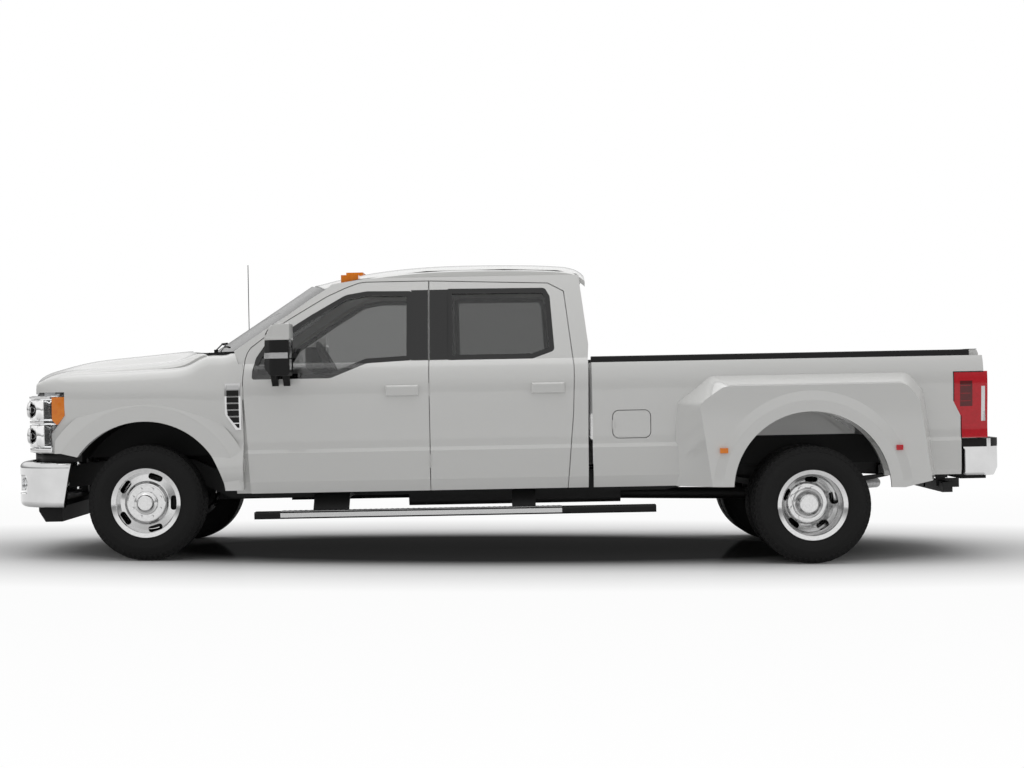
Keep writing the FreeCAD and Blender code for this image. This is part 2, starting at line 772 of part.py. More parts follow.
def cowl():
    """The black panel between the hood and the windshield."""
    half = cab_inner_half - seat_gap
    points = []
    for share in cowl_shares:
        v = share * half / hood_half
        points.append(vec(hood_rear_x + hood_rear_bow * v * v + cowl_gap, half * share, 0))
    front = spline(points)
    rear = Part.Arc(vec(screen_foot_x, -half, 0), vec(screen_foot_x - screen_bow_low, 0, 0),
                    vec(screen_foot_x, half, 0)).toShape()
    sides = [Part.LineSegment(points[0], vec(screen_foot_x, -half, 0)).toShape(),
             Part.LineSegment(points[-1], vec(screen_foot_x, half, 0)).toShape()]
    face = Part.Face(Part.Wire(Part.sortEdges([front, rear] + sides)[0]))
    top = screen_foot_z - screen_thickness / 2 - seat_gap
    panel = face.extrude(vec(0, 0, cowl_thickness))
    panel.translate(vec(0, 0, top - cowl_thickness))
    return panel


antenna_r = 3.0
antenna_half = 812.0
antenna_x = front_axle_x + 470.0
antenna_top_z = 2107.0
antenna_base_r = 24.0
antenna_neck_r = 12.0
antenna_base_height = 18.0


def antenna():
    foot_z = screen_foot_z - screen_thickness / 2
    foot = vec(antenna_x, antenna_half, foot_z)
    mast = Part.makeCylinder(antenna_r, antenna_top_z - foot_z, foot)
    base = Part.makeCone(antenna_base_r, antenna_neck_r, antenna_base_height, foot)
    return mast.fuse(base).removeSplitter()


# Wipers, on pivots through the cowl
wiper_pivot_r = 14.0
wiper_pivot_height = 26.0
wiper_arm_width = 14.0
wiper_arm_height = 10.0
wiper_blade_r = 7.0
wiper_blade_length = 560.0
wiper_pivot_halves = [-560.0, 130.0]
wiper_lift = 14.0
wiper_arm_reach = 300.0


def screen_point(share, height_share):
    """A point on the windshield's outer face, at a share of its half-width and of its height."""
    run = screen_run * height_share
    z = screen_foot_z + screen_rise * height_share
    bow = screen_bow_low + (screen_bow_high - screen_bow_low) * height_share
    lift = screen_lift_high * height_share + screen_sag_low
    middle = 1 - share * share
    half = side_half(z) - pillar_thickness
    return vec(screen_foot_x + run - bow * middle, half * share, z + lift * middle)


wiper_height_share = 0.10


def wipers():
    """Two wiper arms, each with a blade lying along the windshield's foot."""
    half = side_half(screen_foot_z) - pillar_thickness
    top = screen_foot_z - screen_thickness / 2
    parts = []
    for pivot_half in wiper_pivot_halves:
        pivot_share = pivot_half / half
        foot = screen_point(pivot_share, 0)
        pivot_x = foot.x - wiper_arm_width - wiper_pivot_r
        pivot = Part.makeCylinder(wiper_pivot_r, wiper_pivot_height, vec(pivot_x, pivot_half, top))
        middle_share = (pivot_half + wiper_arm_reach) / half
        grip = screen_point(middle_share, wiper_height_share) + vec(-wiper_lift, 0, wiper_lift)
        head = vec(pivot_x, pivot_half, top + wiper_pivot_height - wiper_arm_height / 2)
        arm = rod(head, grip, wiper_arm_height / 2)
        start_share = (pivot_half + wiper_arm_reach - wiper_blade_length / 2) / half
        end_share = (pivot_half + wiper_arm_reach + wiper_blade_length / 2) / half
        start = screen_point(start_share, wiper_height_share) + vec(-wiper_lift, 0, wiper_lift)
        end = screen_point(end_share, wiper_height_share) + vec(-wiper_lift, 0, wiper_lift)
        blade = fused([rod(start, grip, wiper_blade_r), rod(grip, end, wiper_blade_r),
                       Part.makeSphere(wiper_blade_r, grip)])
        parts.append(fused([pivot, arm, blade]))
    return Part.makeCompound(parts)


def headlamps():
    band = nose_band(nose_x + door_skin / 2, nose_run, lamp_depth, lamp_low_z, lamp_high_z)
    keep = side_prism(lamp_outline(0), lamp_inner_half, half_reach)
    under_hood = block(front_x, front_axle_x, 0, seam_half, grille_high_z, lamp_high_z + overrun)
    lamp = band.common(keep).cut(under_hood)
    return both_sides(lamp.cut(side_marker_prism(seat_gap)))


marker_front_low_x = front_axle_x - 591.0
marker_front_high_x = front_axle_x - 621.0
marker_low_z = 933.0
marker_high_z = 1118.0
marker_step_low_z = 965.0


def side_marker_prism(growth):
    """The amber marker's outline in the headlamp's rear, grown by a clearance."""
    outline = [(marker_front_high_x - growth, marker_step_low_z - growth), (marker_front_low_x, marker_low_z - growth),
               (front_axle_x, marker_low_z - growth), (front_axle_x, marker_high_z + growth),
               (marker_front_high_x - growth, marker_high_z + growth)]
    return side_prism(outline, seam_half + seat_gap - growth, half_reach)


def side_marker():
    """The right headlamp's amber rear part, which shows from the side."""
    band = nose_band(nose_x + door_skin / 2, nose_run, lamp_depth, lamp_low_z, lamp_high_z)
    keep = side_prism(lamp_outline(0), lamp_inner_half, half_reach)
    return band.common(keep).common(side_marker_prism(0))


grille_half = lamp_inner_half - seat_gap
grille_low_z = 765.0
grille_high_z = 1128.0
grille_frame = 34.0
grille_depth = 70.0
bar_lows = [808.0, 960.0]
bar_highs = [940.0, 1050.0]
bar_slot_height = 34.0
grille_round = 60.0
upright_shares = [-0.6, 0.0, 0.6]
slat_thickness = 4.0
slat_pitch = 22.0
slat_depth = 14.0
slat_setback = 34.0


def grille_slats(inner_half):
    """Fine upright slats across the openings, set back behind the bars."""
    slats = []
    count = int(2 * inner_half / slat_pitch)
    for index in range(count):
        y = -inner_half + slat_pitch * (index + 0.5)
        share = abs(y) / nose_half
        x = nose_x + slat_setback + nose_run * nose_setback(share)
        slats.append(block(x, x + slat_depth, y - slat_thickness / 2, y + slat_thickness / 2,
                           grille_low_z + grille_frame / 2, grille_high_z - grille_frame / 2))
    return slats


def nose_setback(share):
    """How far back the nose's curve lies at a share of its half-width, in shares of its run."""
    for (u_low, v_low), (u_high, v_high) in zip(nose_shares, nose_shares[1:]):
        if share <= v_high:
            return u_low + (u_high - u_low) * (share - v_low) / (v_high - v_low)
    return nose_shares[-1][0]


def grille_opening(half, low_z, high_z, radius):
    outline = [(-half, low_z, radius), (half, low_z, radius), (half, high_z, radius), (-half, high_z, radius)]
    return opening_prism(outline, front_x, front_axle_x, 0)


def grille():
    """The grille's frame, its two thick crossbars with a slot along each, uprights and slats."""
    shell = nose_band(nose_x, nose_run, grille_depth, grille_low_z, grille_high_z)
    shell = shell.common(grille_opening(grille_half, grille_low_z, grille_high_z, grille_round))
    inner_half = grille_half - grille_frame
    hole = grille_opening(inner_half, grille_low_z + grille_frame, grille_high_z - grille_frame, grille_round / 2)
    bars = []
    for low, high in zip(bar_lows, bar_highs):
        bar = block(front_x, front_axle_x, -grille_half, grille_half, low, high)
        middle = (low + high) / 2
        slot_half = inner_half - grille_frame
        slot = grille_opening(slot_half, middle - bar_slot_height / 2, middle + bar_slot_height / 2,
                              bar_slot_height / 3)
        bars.append(bar.cut(slot))
    for share in upright_shares:
        y = share * inner_half
        bars.append(block(front_x, front_axle_x, y - grille_frame / 2, y + grille_frame / 2, grille_low_z,
                          grille_high_z))
    lattice = fused(bars)
    frame = shell.cut(hole.cut(lattice))
    return fused([frame] + grille_slats(inner_half))


radiator_gap = 40.0
radiator_depth = 60.0
radiator_leg_half = 28.0
radiator_post_r = 16.0
radiator_post_length = 300.0


def radiator():
    """The radiator on two legs from the frame, with two posts that the hood rests on."""
    x = nose_x + grille_depth + radiator_gap
    parts = [block(x, x + radiator_depth, -grille_half + grille_frame, grille_half - grille_frame,
                   grille_low_z - grille_frame, grille_high_z - grille_frame)]
    hood_up = sheet(hood_rows(), vec(0, 0, -hood_thickness - seat_gap))
    hood_up = hood_up.fuse(sheet(hood_rows(), vec(0, 0, radiator_post_length)))
    for y in (-rail_middle, rail_middle):
        parts.append(block(x, x + radiator_depth, y - radiator_leg_half, y + radiator_leg_half,
                           rail_front_top_z, grille_low_z))
        post = Part.makeCylinder(radiator_post_r, radiator_post_length,
                                 vec(x + radiator_depth / 2, y, grille_high_z - 2 * grille_frame))
        parts.append(post.cut(hood_up))
    return fused(parts)


bumper_low_z = 369.0
bumper_high_z = 677.0
bumper_thickness = 60.0
bumper_run = 410.0
bumper_round = 40.0
bumper_rear_low_x = front_axle_x - 549.0
bumper_rear_high_x = front_axle_x - 493.0
bumper_bracket_half = 30.0
bumper_bracket_low_z = 475.0
bumper_bracket_high_z = 585.0
fog_inner_half = 600.0
fog_outer_half = 850.0
fog_low_z = 460.0
fog_high_z = 590.0
fog_depth = 34.0
fog_round = 24.0
fog_glass_r = 42.0
fog_glass_half = 700.0
intake_half = 420.0
intake_low_z = 405.0
intake_high_z = 480.0
intake_round = 24.0


def fog_recess():
    """What the right fog lamp's recess takes out of the bumper's face."""
    shape = opening_prism([(fog_inner_half, fog_low_z, fog_round), (fog_outer_half, fog_low_z, fog_round),
                           (fog_outer_half, fog_high_z, fog_round), (fog_inner_half, fog_high_z, fog_round)],
                          front_x - overrun, front_axle_x, 0)
    behind = nose_band(front_x + fog_depth, bumper_run, bumper_thickness, fog_low_z - overrun, fog_high_z + overrun)
    return shape.cut(behind)


def bumper_band():
    """The bumper's curved face with rounded upper and lower edges."""
    band = nose_band(front_x, bumper_run, bumper_thickness, bumper_low_z, bumper_high_z)
    edges = []
    for edge in band.Edges:
        box = edge.BoundBox
        if box.YLength > nose_half and abs(box.XMin - front_x) < bumper_thickness / 2:
            edges.append(edge)
    return band.makeFillet(bumper_round, edges)


def front_bumper():
    """The chrome bumper, wrapped round both corners, with fog lamp recesses, an intake and a plate bracket."""
    outline = [(front_x - overrun, bumper_low_z - overrun), (bumper_rear_low_x, bumper_low_z - overrun),
               (bumper_rear_low_x, bumper_low_z), (bumper_rear_high_x, bumper_high_z),
               (bumper_rear_high_x, bumper_high_z + overrun), (front_x - overrun, bumper_high_z + overrun)]
    band = bumper_band().common(side_prism(outline, -half_reach, half_reach))
    recess = fog_recess()
    band = band.cut(recess).cut(mirrored(recess))
    intake = opening_prism([(-intake_half, intake_low_z, intake_round), (intake_half, intake_low_z, intake_round),
                            (intake_half, intake_high_z, intake_round), (-intake_half, intake_high_z, intake_round)],
                           front_x - overrun, front_x + 2 * bumper_thickness, 0)
    band = band.cut(intake)
    parts = [band]
    for y in (-rail_middle, rail_middle):
        parts.append(block(front_x + bumper_thickness / 2, rail_front_x - seat_gap, y - bumper_bracket_half,
                           y + bumper_bracket_half, bumper_bracket_low_z, bumper_bracket_high_z))
    return fused(parts)


def fog_lamps():
    """Round fog lamp glasses standing in the bumper's recesses."""
    share = fog_glass_half / nose_half
    face_x = front_x + bumper_run * nose_setback(share)
    z = (fog_low_z + fog_high_z) / 2
    start = vec(face_x + fog_depth / 2, fog_glass_half, z)
    glass_body = Part.makeCylinder(fog_glass_r, 2 * fog_depth, start, vec(1, 0, 0))
    glass_body = glass_body.cut(nose_band(front_x + fog_depth - seat_gap, bumper_run, 2 * bumper_thickness,
                                          fog_low_z - overrun, fog_high_z + overrun))
    return both_sides(glass_body)


valance_low_z = 265.0
valance_half = 800.0
valance_front_x = front_axle_x - 760.0
valance_rear_x = front_axle_x - 600.0
valance_top_z = 399.0
valance_lip = 45.0
valance_rear_step = 30.0
strut_inset = 15.0
strut_length = 50.0


def valance():
    """The black air dam under the bumper, hung from both frame rails."""
    outline = [(valance_front_x, valance_top_z), (valance_front_x, bumper_low_z - overrun / 2),
               (valance_front_x + valance_lip, valance_low_z), (valance_rear_x, valance_low_z),
               (valance_rear_x, bumper_low_z), (valance_rear_x - valance_rear_step, valance_top_z)]
    parts = [side_prism(outline, -valance_half, valance_half)]
    strut_x = valance_front_x + strut_inset
    for y in (-rail_middle, rail_middle):
        parts.append(block(strut_x, strut_x + strut_length, y - radiator_leg_half, y + radiator_leg_half,
                           valance_top_z, rail_front_low_z - seat_gap))
    return fused(parts)


liner_inner_half = 560.0
liner_outer_half = 922.0
liner_gap = 8.0
liner_wall = 14.0
liner_front_x = front_axle_x - 540.0
liner_rear_x = front_axle_x + 515.0
liner_low_z = 692.0
liner_tail_z = 512.0
apron_front_x = front_axle_x - 480.0
apron_thickness = 12.0
apron_high_z = 1120.0


def front_liner():
    """The right wheel housing over the front tyre, with an apron back to the firewall."""
    low_r = front_arch_r + liner_gap
    high_r = low_r + liner_wall
    shell = ring(front_arch_x, tyre_r, [(low_r, liner_inner_half), (low_r, liner_outer_half),
                                        (high_r, liner_outer_half), (high_r, liner_inner_half)])
    keep = block(liner_front_x, liner_rear_x, 0, half_reach, liner_low_z, shoulder_z)
    keep = keep.fuse(block(front_axle_x, liner_rear_x, 0, half_reach, liner_tail_z, shoulder_z))
    apron_rear_x = firewall_x - firewall_thickness - seat_gap
    apron = block(apron_front_x, apron_rear_x, liner_inner_half - apron_thickness, liner_inner_half,
                  liner_low_z, apron_high_z)
    return shell.common(keep).fuse(apron).removeSplitter()


rear_liner_gap = 0.3
rear_liner_thickness = 12.0
rear_liner_reach = 620.0
rear_liner_low_z = 560.0


def rear_liner():
    """The right panel beside the inner rear wheel, hanging under the load floor."""
    half = house_half + rear_liner_gap
    return block(rear_axle_x - rear_liner_reach, rear_axle_x + rear_liner_reach, half, half + rear_liner_thickness,
                 rear_liner_low_z, bed_floor_z - bed_floor_thickness - seat_gap)


# Load box
skirt_rear_z = 484.0
lamp_box_x = front_axle_x + 5466.5
lamp_box_high_z = 1176.0
lamp_box_low_z = 728.0
lamp_box_inner_half = 852.0
lamp_box_step = 50.0
fuel_door_x = front_axle_x + 3171.5
fuel_door_length = 252.0
fuel_door_low_z = 772.0
fuel_door_height = 183.0
fuel_door_round = 40.0
fuel_door_thickness = 6.0
fuel_pocket = 60.0
fuel_barrel_length = 60.0
small_gap = 5.0


def box_side():
    """The right side of the load box, thick beside the floor and a thin skirt below it."""
    low_x = box_front_x
    high_x = box_rear_x
    outer = side_band(0, side_thickness * 2, low_x - overrun, high_x + overrun)
    skirt_x = lamp_box_x + lamp_box_step - seat_gap
    outline = [(low_x, sill_z), (low_x, box_top_z), (high_x, box_top_z), (high_x, lamp_box_low_z),
               (skirt_x, lamp_box_low_z), (skirt_x - small_gap, skirt_rear_z), (rear_axle_x + arch_r, skirt_rear_z),
               (rear_axle_x - arch_r, sill_z)]
    side = outer.common(side_prism(outline, 0, half_reach))
    wall_floor = bed_floor_z - bed_floor_thickness
    under = block(low_x - overrun, high_x + overrun, 0, sill_half - box_skirt, sill_z - overrun, wall_floor)
    over = block(low_x - overrun, high_x + overrun, 0, box_inner_half, wall_floor, box_top_z + overrun)
    side = side.cut(under).cut(over)
    side = side.cut(cylinder_y(rear_arch_x, rear_arch_z, arch_r, 0, half_reach))
    return side.cut(tail_lamp_prism(seat_gap)).removeSplitter()


def tail_lamp_prism(growth):
    """The tail lamp's place at the rear corner, narrower over its upper part."""
    low_x = lamp_box_x - growth
    outline = [(low_x + lamp_box_step, lamp_box_low_z - growth), (box_rear_x + overrun, lamp_box_low_z - growth),
               (box_rear_x + overrun, lamp_box_high_z + growth), (low_x, lamp_box_high_z + growth),
               (low_x, lamp_box_low_z + 5 * lamp_box_step),
               (low_x + lamp_box_step, lamp_box_low_z + 3 * lamp_box_step)]
    return side_prism(outline, lamp_box_inner_half - growth, half_reach)


def tail_lamp():
    band = side_band(-2 * seat_gap, side_thickness * 2, lamp_box_x - overrun, box_rear_x + door_skin)
    lamp = band.common(tail_lamp_prism(0))
    return lamp


def fuel_door_prism(growth, half_low):
    low_x = fuel_door_x - growth
    high_x = fuel_door_x + fuel_door_length + growth
    low_z = fuel_door_low_z - growth
    high_z = fuel_door_low_z + fuel_door_height + growth
    radius = fuel_door_round + growth
    outline = [(low_x, low_z, radius), (high_x, low_z, radius), (high_x, high_z, radius), (low_x, high_z, radius)]
    return side_prism(outline, half_low, half_reach)


def fuel_door():
    band = side_band(0, fuel_door_thickness, fuel_door_x - overrun, fuel_door_x + fuel_door_length + overrun)
    middle_z = fuel_door_low_z + fuel_door_height / 2
    low_z = middle_z - fuel_barrel_length / 2
    axis_x = fuel_door_x - small_gap / 2
    leaf_half = waist_half - fuel_door_thickness / 2
    barrel = Part.makeCylinder(small_gap / 2 - seat_gap, fuel_barrel_length, vec(axis_x, waist_half, low_z))
    leaf = block(axis_x, fuel_door_x + 2 * small_gap, leaf_half, waist_half, low_z, low_z + fuel_barrel_length)
    return mirrored(fused([band.common(fuel_door_prism(0, 0)), barrel, leaf]))


def box_sides():
    right = box_side()
    low_half = ledge_half - fuel_pocket
    left = mirrored(right.cut(fuel_door_prism(small_gap, low_half)))
    filler = cylinder_y(fuel_door_x + fuel_door_length / 2, fuel_door_low_z + fuel_door_height / 2,
                        fuel_pocket / 2, low_half - small_gap, low_half + fuel_pocket / 2)
    return Part.makeCompound([left.fuse(mirrored(filler)).removeSplitter(), right])


def rail_cap():
    x_low = box_front_x
    x_high = box_rear_x - tailgate_thickness - small_gap
    top_half = side_band_top_half() - cap_inset
    section = [(box_inner_half - small_gap, box_top_z), (side_band_top_half(), box_top_z),
               (top_half, box_top_z + cap_height, cap_round),
               (box_inner_half - small_gap, box_top_z + cap_height, cap_round)]
    wire = outline_wire(section, lambda u, v: vec(x_low, u, v))
    return Part.Face(wire).extrude(vec(x_high - x_low, 0, 0))


def side_band_top_half():
    """How far out the box side lies at its top."""
    share = (box_top_z - brow_z) / (belt_z - brow_z)
    return brow_half + (belt_half - brow_half) * share


sill_half_length = 35.0
sill_depth = 55.0
sill_foot_half = 33.0
bed_sills = [(box_front_x + 150.0, 535.0), (rear_axle_x - 400.0, 630.0), (rear_axle_x + 300.0, 630.0),
             (rear_axle_x + 900.0, 596.0)]
rib_count = 9
rib_width = 58.0
rib_height = 12.0


def bed():
    """The load floor, front wall and the two wheel housings that stand up through it."""
    half = box_inner_half - seat_gap
    rear = box_rear_x - tailgate_thickness - inner_gap
    floor = block(box_front_x, rear, -half, half, bed_floor_z - bed_floor_thickness, bed_floor_z)
    wall = block(box_front_x, box_front_x + bed_wall, -half, half, bed_floor_z - bed_floor_thickness, box_top_z)
    outer_r = arch_r + house_wall
    house = cylinder_y(rear_arch_x, rear_arch_z, outer_r, house_half, half)
    hollow = cylinder_y(rear_arch_x, rear_arch_z, arch_r, house_half + house_wall, half + overrun)
    over = block(rear_arch_x - 2 * arch_r, rear_arch_x + 2 * arch_r, 0, half_reach,
                 bed_floor_z - bed_floor_thickness, box_top_z)
    house = house.common(over)
    both = house.fuse(mirrored(house))
    both_hollow = hollow.fuse(mirrored(hollow))
    ribs = []
    count = rib_count
    pitch = (2 * house_half - rib_width) / (count - 1)
    for index in range(count):
        y = -house_half + rib_width / 2 + pitch * index
        ribs.append(block(box_front_x + bed_wall, rear, y - rib_width / 2, y + rib_width / 2,
                          bed_floor_z, bed_floor_z + rib_height))
    sills = []
    for place, seat_z in bed_sills:
        low_z = bed_floor_z - bed_floor_thickness
        x_low = place - sill_half_length
        x_high = place + sill_half_length
        sills.append(block(x_low, x_high, -house_half, house_half, low_z - sill_depth, low_z))
        for y in (-rail_middle, rail_middle):
            sills.append(block(x_low, x_high, y - sill_foot_half, y + sill_foot_half, seat_z + seat_gap, low_z))
    return fused([floor, wall, both] + ribs + sills).cut(both_hollow)


# Rear flares over the twin wheels: outlines at the box side and at the outer face, from the axle
flare_root_half = 988.0
flare_base = [(-880.0, 440.0), (-874.0, 1000.0, 40.0), (-645.0, 1183.0, 90.0), (700.0, 1183.0, 110.0),
              (800.0, 1060.0, 80.0), (868.0, 478.0), (617.0, 432.0)]
flare_face = [(-656.0, 440.0), (-732.0, 994.0, 60.0), (-570.0, 1105.0, 110.0), (640.0, 1105.0, 100.0),
              (730.0, 985.0, 80.0), (800.0, 456.0), (617.0, 415.0)]
flare_foot_z = 700.0
flare_foot_drop = 4.0
lip_half = 1219.0
lip_ridge_r = 597.0
lip_outer_r = 703.0
lip_ridge_round = 14.0
lip_sink = 9.0


def flare_loft(base, face, half_low, half_high):
    low = outline_wire(base, lambda u, v: vec(rear_axle_x + u, half_low, v))
    high = outline_wire(face, lambda u, v: vec(rear_axle_x + u, half_high, v))
    return Part.makeLoft([low, high], True, True)


def shrunk(points, distance):
    """The outline pulled in towards its middle, its foot kept open below."""
    middle = sum(point[0] for point in points) / len(points)
    result = []
    for point in points:
        inward = distance if point[0] < middle else -distance
        drop = flare_foot_drop * distance if point[1] < flare_foot_z else distance
        result.append((point[0] + inward, point[1] - drop) + tuple(point[2:]))
    return result


def rear_flare():
    """The right flare: a hollow moulding over the outer wheel, with a raised lip round the arch."""
    body = flare_loft(flare_base, flare_face, flare_root_half, flare_half)
    inside = flare_loft(shrunk(flare_base, flare_wall), shrunk(flare_face, flare_wall),
                        flare_root_half - flare_wall, flare_half - flare_wall)
    body = body.cut(inside)
    lip = ring(rear_arch_x, rear_arch_z, [(arch_r, flare_half - flare_wall), (arch_r, flare_half),
                                          (lip_ridge_r, lip_half, lip_ridge_round),
                                          (lip_outer_r, flare_half - lip_sink),
                                          (lip_outer_r, flare_half - flare_wall)])
    lip = lip.common(side_prism([(rear_axle_x + point[0], *point[1:]) for point in flare_face], 0, half_reach * 2))
    body = body.fuse(lip)
    body = body.cut(cylinder_y(rear_arch_x, rear_arch_z, arch_r, 0, half_reach * 2))
    skin = side_band(-seat_gap, side_thickness * 2, box_front_x, box_rear_x)
    return body.cut(skin)


tailgate_lip = 8.0
tailgate_roll_drop = 20.0
tailgate_roll_rise = 10.0
tailgate_top_round = 12.0
tailgate_crown = 4.0
handle_pocket_half = 110.0
handle_pocket_depth = 22.0
handle_pocket_low_z = 1154.0
handle_pocket_high_z = 1234.0
panel_recess = 8.0
panel_recess_half = 690.0
panel_recess_low_z = 800.0
panel_recess_high_z = 1110.0
panel_recess_round = 50.0
pull_half = 85.0
pull_height = 34.0
pull_depth = 12.0


def tailgate():
    """The tailgate, a full-width panel with a rolled top, a recessed field and its handle, on two pins."""
    low_x = box_rear_x - tailgate_thickness
    outline = [(low_x, tailgate_low_z), (box_rear_x, tailgate_low_z), (box_rear_x, box_top_z - tailgate_roll_drop),
               (box_rear_x + tailgate_lip, box_top_z + tailgate_roll_rise, tailgate_lip),
               (box_rear_x - tailgate_crown, box_top_z + cap_height, tailgate_top_round),
               (low_x, box_top_z + cap_height, tailgate_top_round)]
    panel = side_prism(outline, -tailgate_half, tailgate_half)
    pins = cylinder_y(box_rear_x - tailgate_pin_inset, tailgate_low_z + tailgate_pin_inset, tailgate_pin_r,
                      -box_inner_half + seat_gap, box_inner_half - seat_gap)
    panel = panel.fuse(pins)
    handle_pocket = block(box_rear_x - handle_pocket_depth, box_rear_x + overrun, -handle_pocket_half,
                          handle_pocket_half, handle_pocket_low_z, handle_pocket_high_z)
    pull_z = (handle_pocket_low_z + handle_pocket_high_z) / 2
    pull = block(box_rear_x - handle_pocket_depth, box_rear_x - handle_pocket_depth + pull_depth, -pull_half,
                 pull_half, pull_z, pull_z + pull_height)
    recess = opening_prism([(-panel_recess_half, panel_recess_low_z, panel_recess_round),
                            (panel_recess_half, panel_recess_low_z, panel_recess_round),
                            (panel_recess_half, panel_recess_high_z, panel_recess_round),
                            (-panel_recess_half, panel_recess_high_z, panel_recess_round)],
                           box_rear_x - panel_recess, box_rear_x + overrun, 0)
    return panel.cut(handle_pocket).cut(recess).fuse(pull)


rear_bumper_low_z = 470.0
rear_bumper_high_z = 719.0
rear_bumper_half = 935.0
rear_bumper_x = front_axle_x + 5545.0
rear_bumper_depth = 255.0
rear_bumper_tuck = 150.0
rear_bumper_heel = 40.0
rear_bumper_toe = 60.0
rear_bumper_lip = 10.0
rear_bumper_lip_drop = 22.0
rear_bumper_low_round = 20.0
rear_bumper_toe_round = 30.0
rear_bumper_top_round = 8.0
rear_bumper_corner = 45.0
rear_plate_half = 170.0
rear_plate_low_z = 515.0
rear_plate_high_z = 664.0
rear_plate_depth = 40.0
rear_step_half = 330.0
rear_step_depth = 40.0
rear_bracket_half = 30.0
rear_bracket_reach = 120.0
rear_bracket_low_z = 480.0
rear_bracket_high_z = 570.0


def rear_bumper():
    """The chrome step bumper, with a stepped top, tapered ends and a plate recess."""
    x_low = rear_bumper_x
    x_high = rear_bumper_x + rear_bumper_depth
    outline = [(x_low + rear_bumper_tuck, rear_bumper_low_z),
               (x_high - rear_bumper_heel, rear_bumper_low_z, rear_bumper_low_round),
               (x_high, rear_bumper_low_z + rear_bumper_toe, rear_bumper_toe_round),
               (x_high, rear_bumper_high_z - rear_bumper_toe, rear_bumper_top_round),
               (x_high - rear_bumper_lip, rear_bumper_high_z - rear_bumper_lip_drop, rear_bumper_top_round),
               (x_high - rear_bumper_toe, rear_bumper_high_z, rear_bumper_top_round),
               (x_low, rear_bumper_high_z), (x_low, rear_bumper_high_z - rear_bumper_toe)]
    body = side_prism(outline, -rear_bumper_half, rear_bumper_half)
    corner = rear_bumper_corner
    plan = plan_prism([(x_low, -rear_bumper_half), (x_high - 2 * corner, -rear_bumper_half, corner),
                       (x_high, -rear_bumper_half + 2 * corner, corner),
                       (x_high, rear_bumper_half - 2 * corner, corner),
                       (x_high - 2 * corner, rear_bumper_half, corner), (x_low, rear_bumper_half)],
                      rear_bumper_low_z - overrun, rear_bumper_high_z + overrun)
    body = body.common(plan)
    plate = block(x_high - rear_plate_depth, x_high + overrun, -rear_plate_half, rear_plate_half,
                  rear_plate_low_z, rear_plate_high_z)
    step = block(x_low - overrun, x_high + overrun, -rear_step_half, rear_step_half,
                 rear_bumper_high_z - rear_step_depth, rear_bumper_high_z + overrun)
    parts = [body.cut(plate).cut(step)]
    for y in (-rail_middle, rail_middle):
        parts.append(block(rail_rear_x + seat_gap, x_low + rear_bracket_reach, y - rear_bracket_half,
                           y + rear_bracket_half, rear_bracket_low_z, rear_bracket_high_z))
    return fused(parts)


# Chassis frame, in the side view from front to rear
rail_points = [(rail_front_x, rail_low_z + rail_front_rise), (front_axle_x - 350.0, rail_low_z + rail_arch_rise),
               (front_axle_x + 250.0, rail_low_z + rail_arch_rise), (front_axle_x + 500.0, rail_low_z),
               (rear_axle_x - 900.0, rail_low_z), (rear_axle_x - 450.0, rail_kick_z),
               (rear_axle_x + 350.0, rail_kick_z), (rail_rear_x, rail_kick_z - rail_tail_drop)]
cross_tube_r = 30.0
cross_tubes = [(rail_front_x + 60.0, rail_low_z + 130.0), (front_axle_x - 400.0, rail_low_z + 200.0),
               (front_axle_x + 1500.0, rail_low_z + 118.0), (front_axle_x + 3330.0, rail_low_z + 118.0),
               (rear_axle_x - 640.0, rail_kick_z + 70.0), (rear_axle_x + 700.0, rail_kick_z + 70.0),
               (rail_rear_x - 60.0, rail_kick_z + 40.0)]
rake_slack = 1.3
receiver_half = 32.0
receiver_wall = 6.5
receiver_z = 370.0
receiver_length = 209.0
receiver_beam_x = rail_rear_x - 30.0
receiver_beam_half = 555.0
receiver_beam_depth = 35.0
receiver_hanger_front = 45.0
receiver_hanger_rear = 20.0
receiver_hanger_half = 12.0
receiver_hanger_top = 60.0
body_mounts = [front_axle_x + 750.0, front_axle_x + 1850.0, front_axle_x + 2850.0]
body_mount_r = 32.0
body_mount_sink = 2.0
hanger_half_length = 30.0
hanger_height = 60.0
hanger_inset = 30.0
hanger_lap = 5.0
tower_half_length = 75.0
tower_thickness = 22.2
tower_gap = 1.8

# Springs
spring_seat_z = tyre_r + 52.0 + seat_gap
leaf_half = rail_outer_half + 45.0
leaf_width = 70.0
leaf_reach = 640.0
leaf_pack = 70.0
leaf_pack_half_length = 150.0
leaf_seat_half_length = 130.0
leaf_end_rise = 110.0
leaf_end = 16.0
leaf_top_z = spring_seat_z + leaf_end_rise + leaf_end
coil_half = 530.0
coil_r = 60.0
coil_top_z = 640.0


def mirror_span(low, high, side):
    """The same span of half-widths on the right (side 1) or the left (side -1)."""
    return (low, high) if side > 0 else (-high, -low)


def spring_hangers():
    """What ties the springs' ends to the rails: leaf hangers at the rear and coil towers in front."""
    parts = []
    tilt = math.sin(math.radians(rake_deg))
    for side in (-1, 1):
        low, high = mirror_span(rail_outer_half - hanger_lap, leaf_half + leaf_width / 2, side)
        for place in (rear_axle_x - leaf_reach + hanger_inset, rear_axle_x + leaf_reach - hanger_inset):
            foot = leaf_top_z + rake_slack - (place - front_axle_x) * tilt
            parts.append(block(place - hanger_half_length, place + hanger_half_length, low, high,
                               foot, foot + hanger_height))
        low, high = mirror_span(rail_outer_half - hanger_lap, coil_half + coil_r, side)
        tower_z = coil_top_z + tower_gap
        parts.append(block(front_axle_x - tower_half_length, front_axle_x + tower_half_length, low, high,
                           tower_z, tower_z + tower_thickness))
    return parts


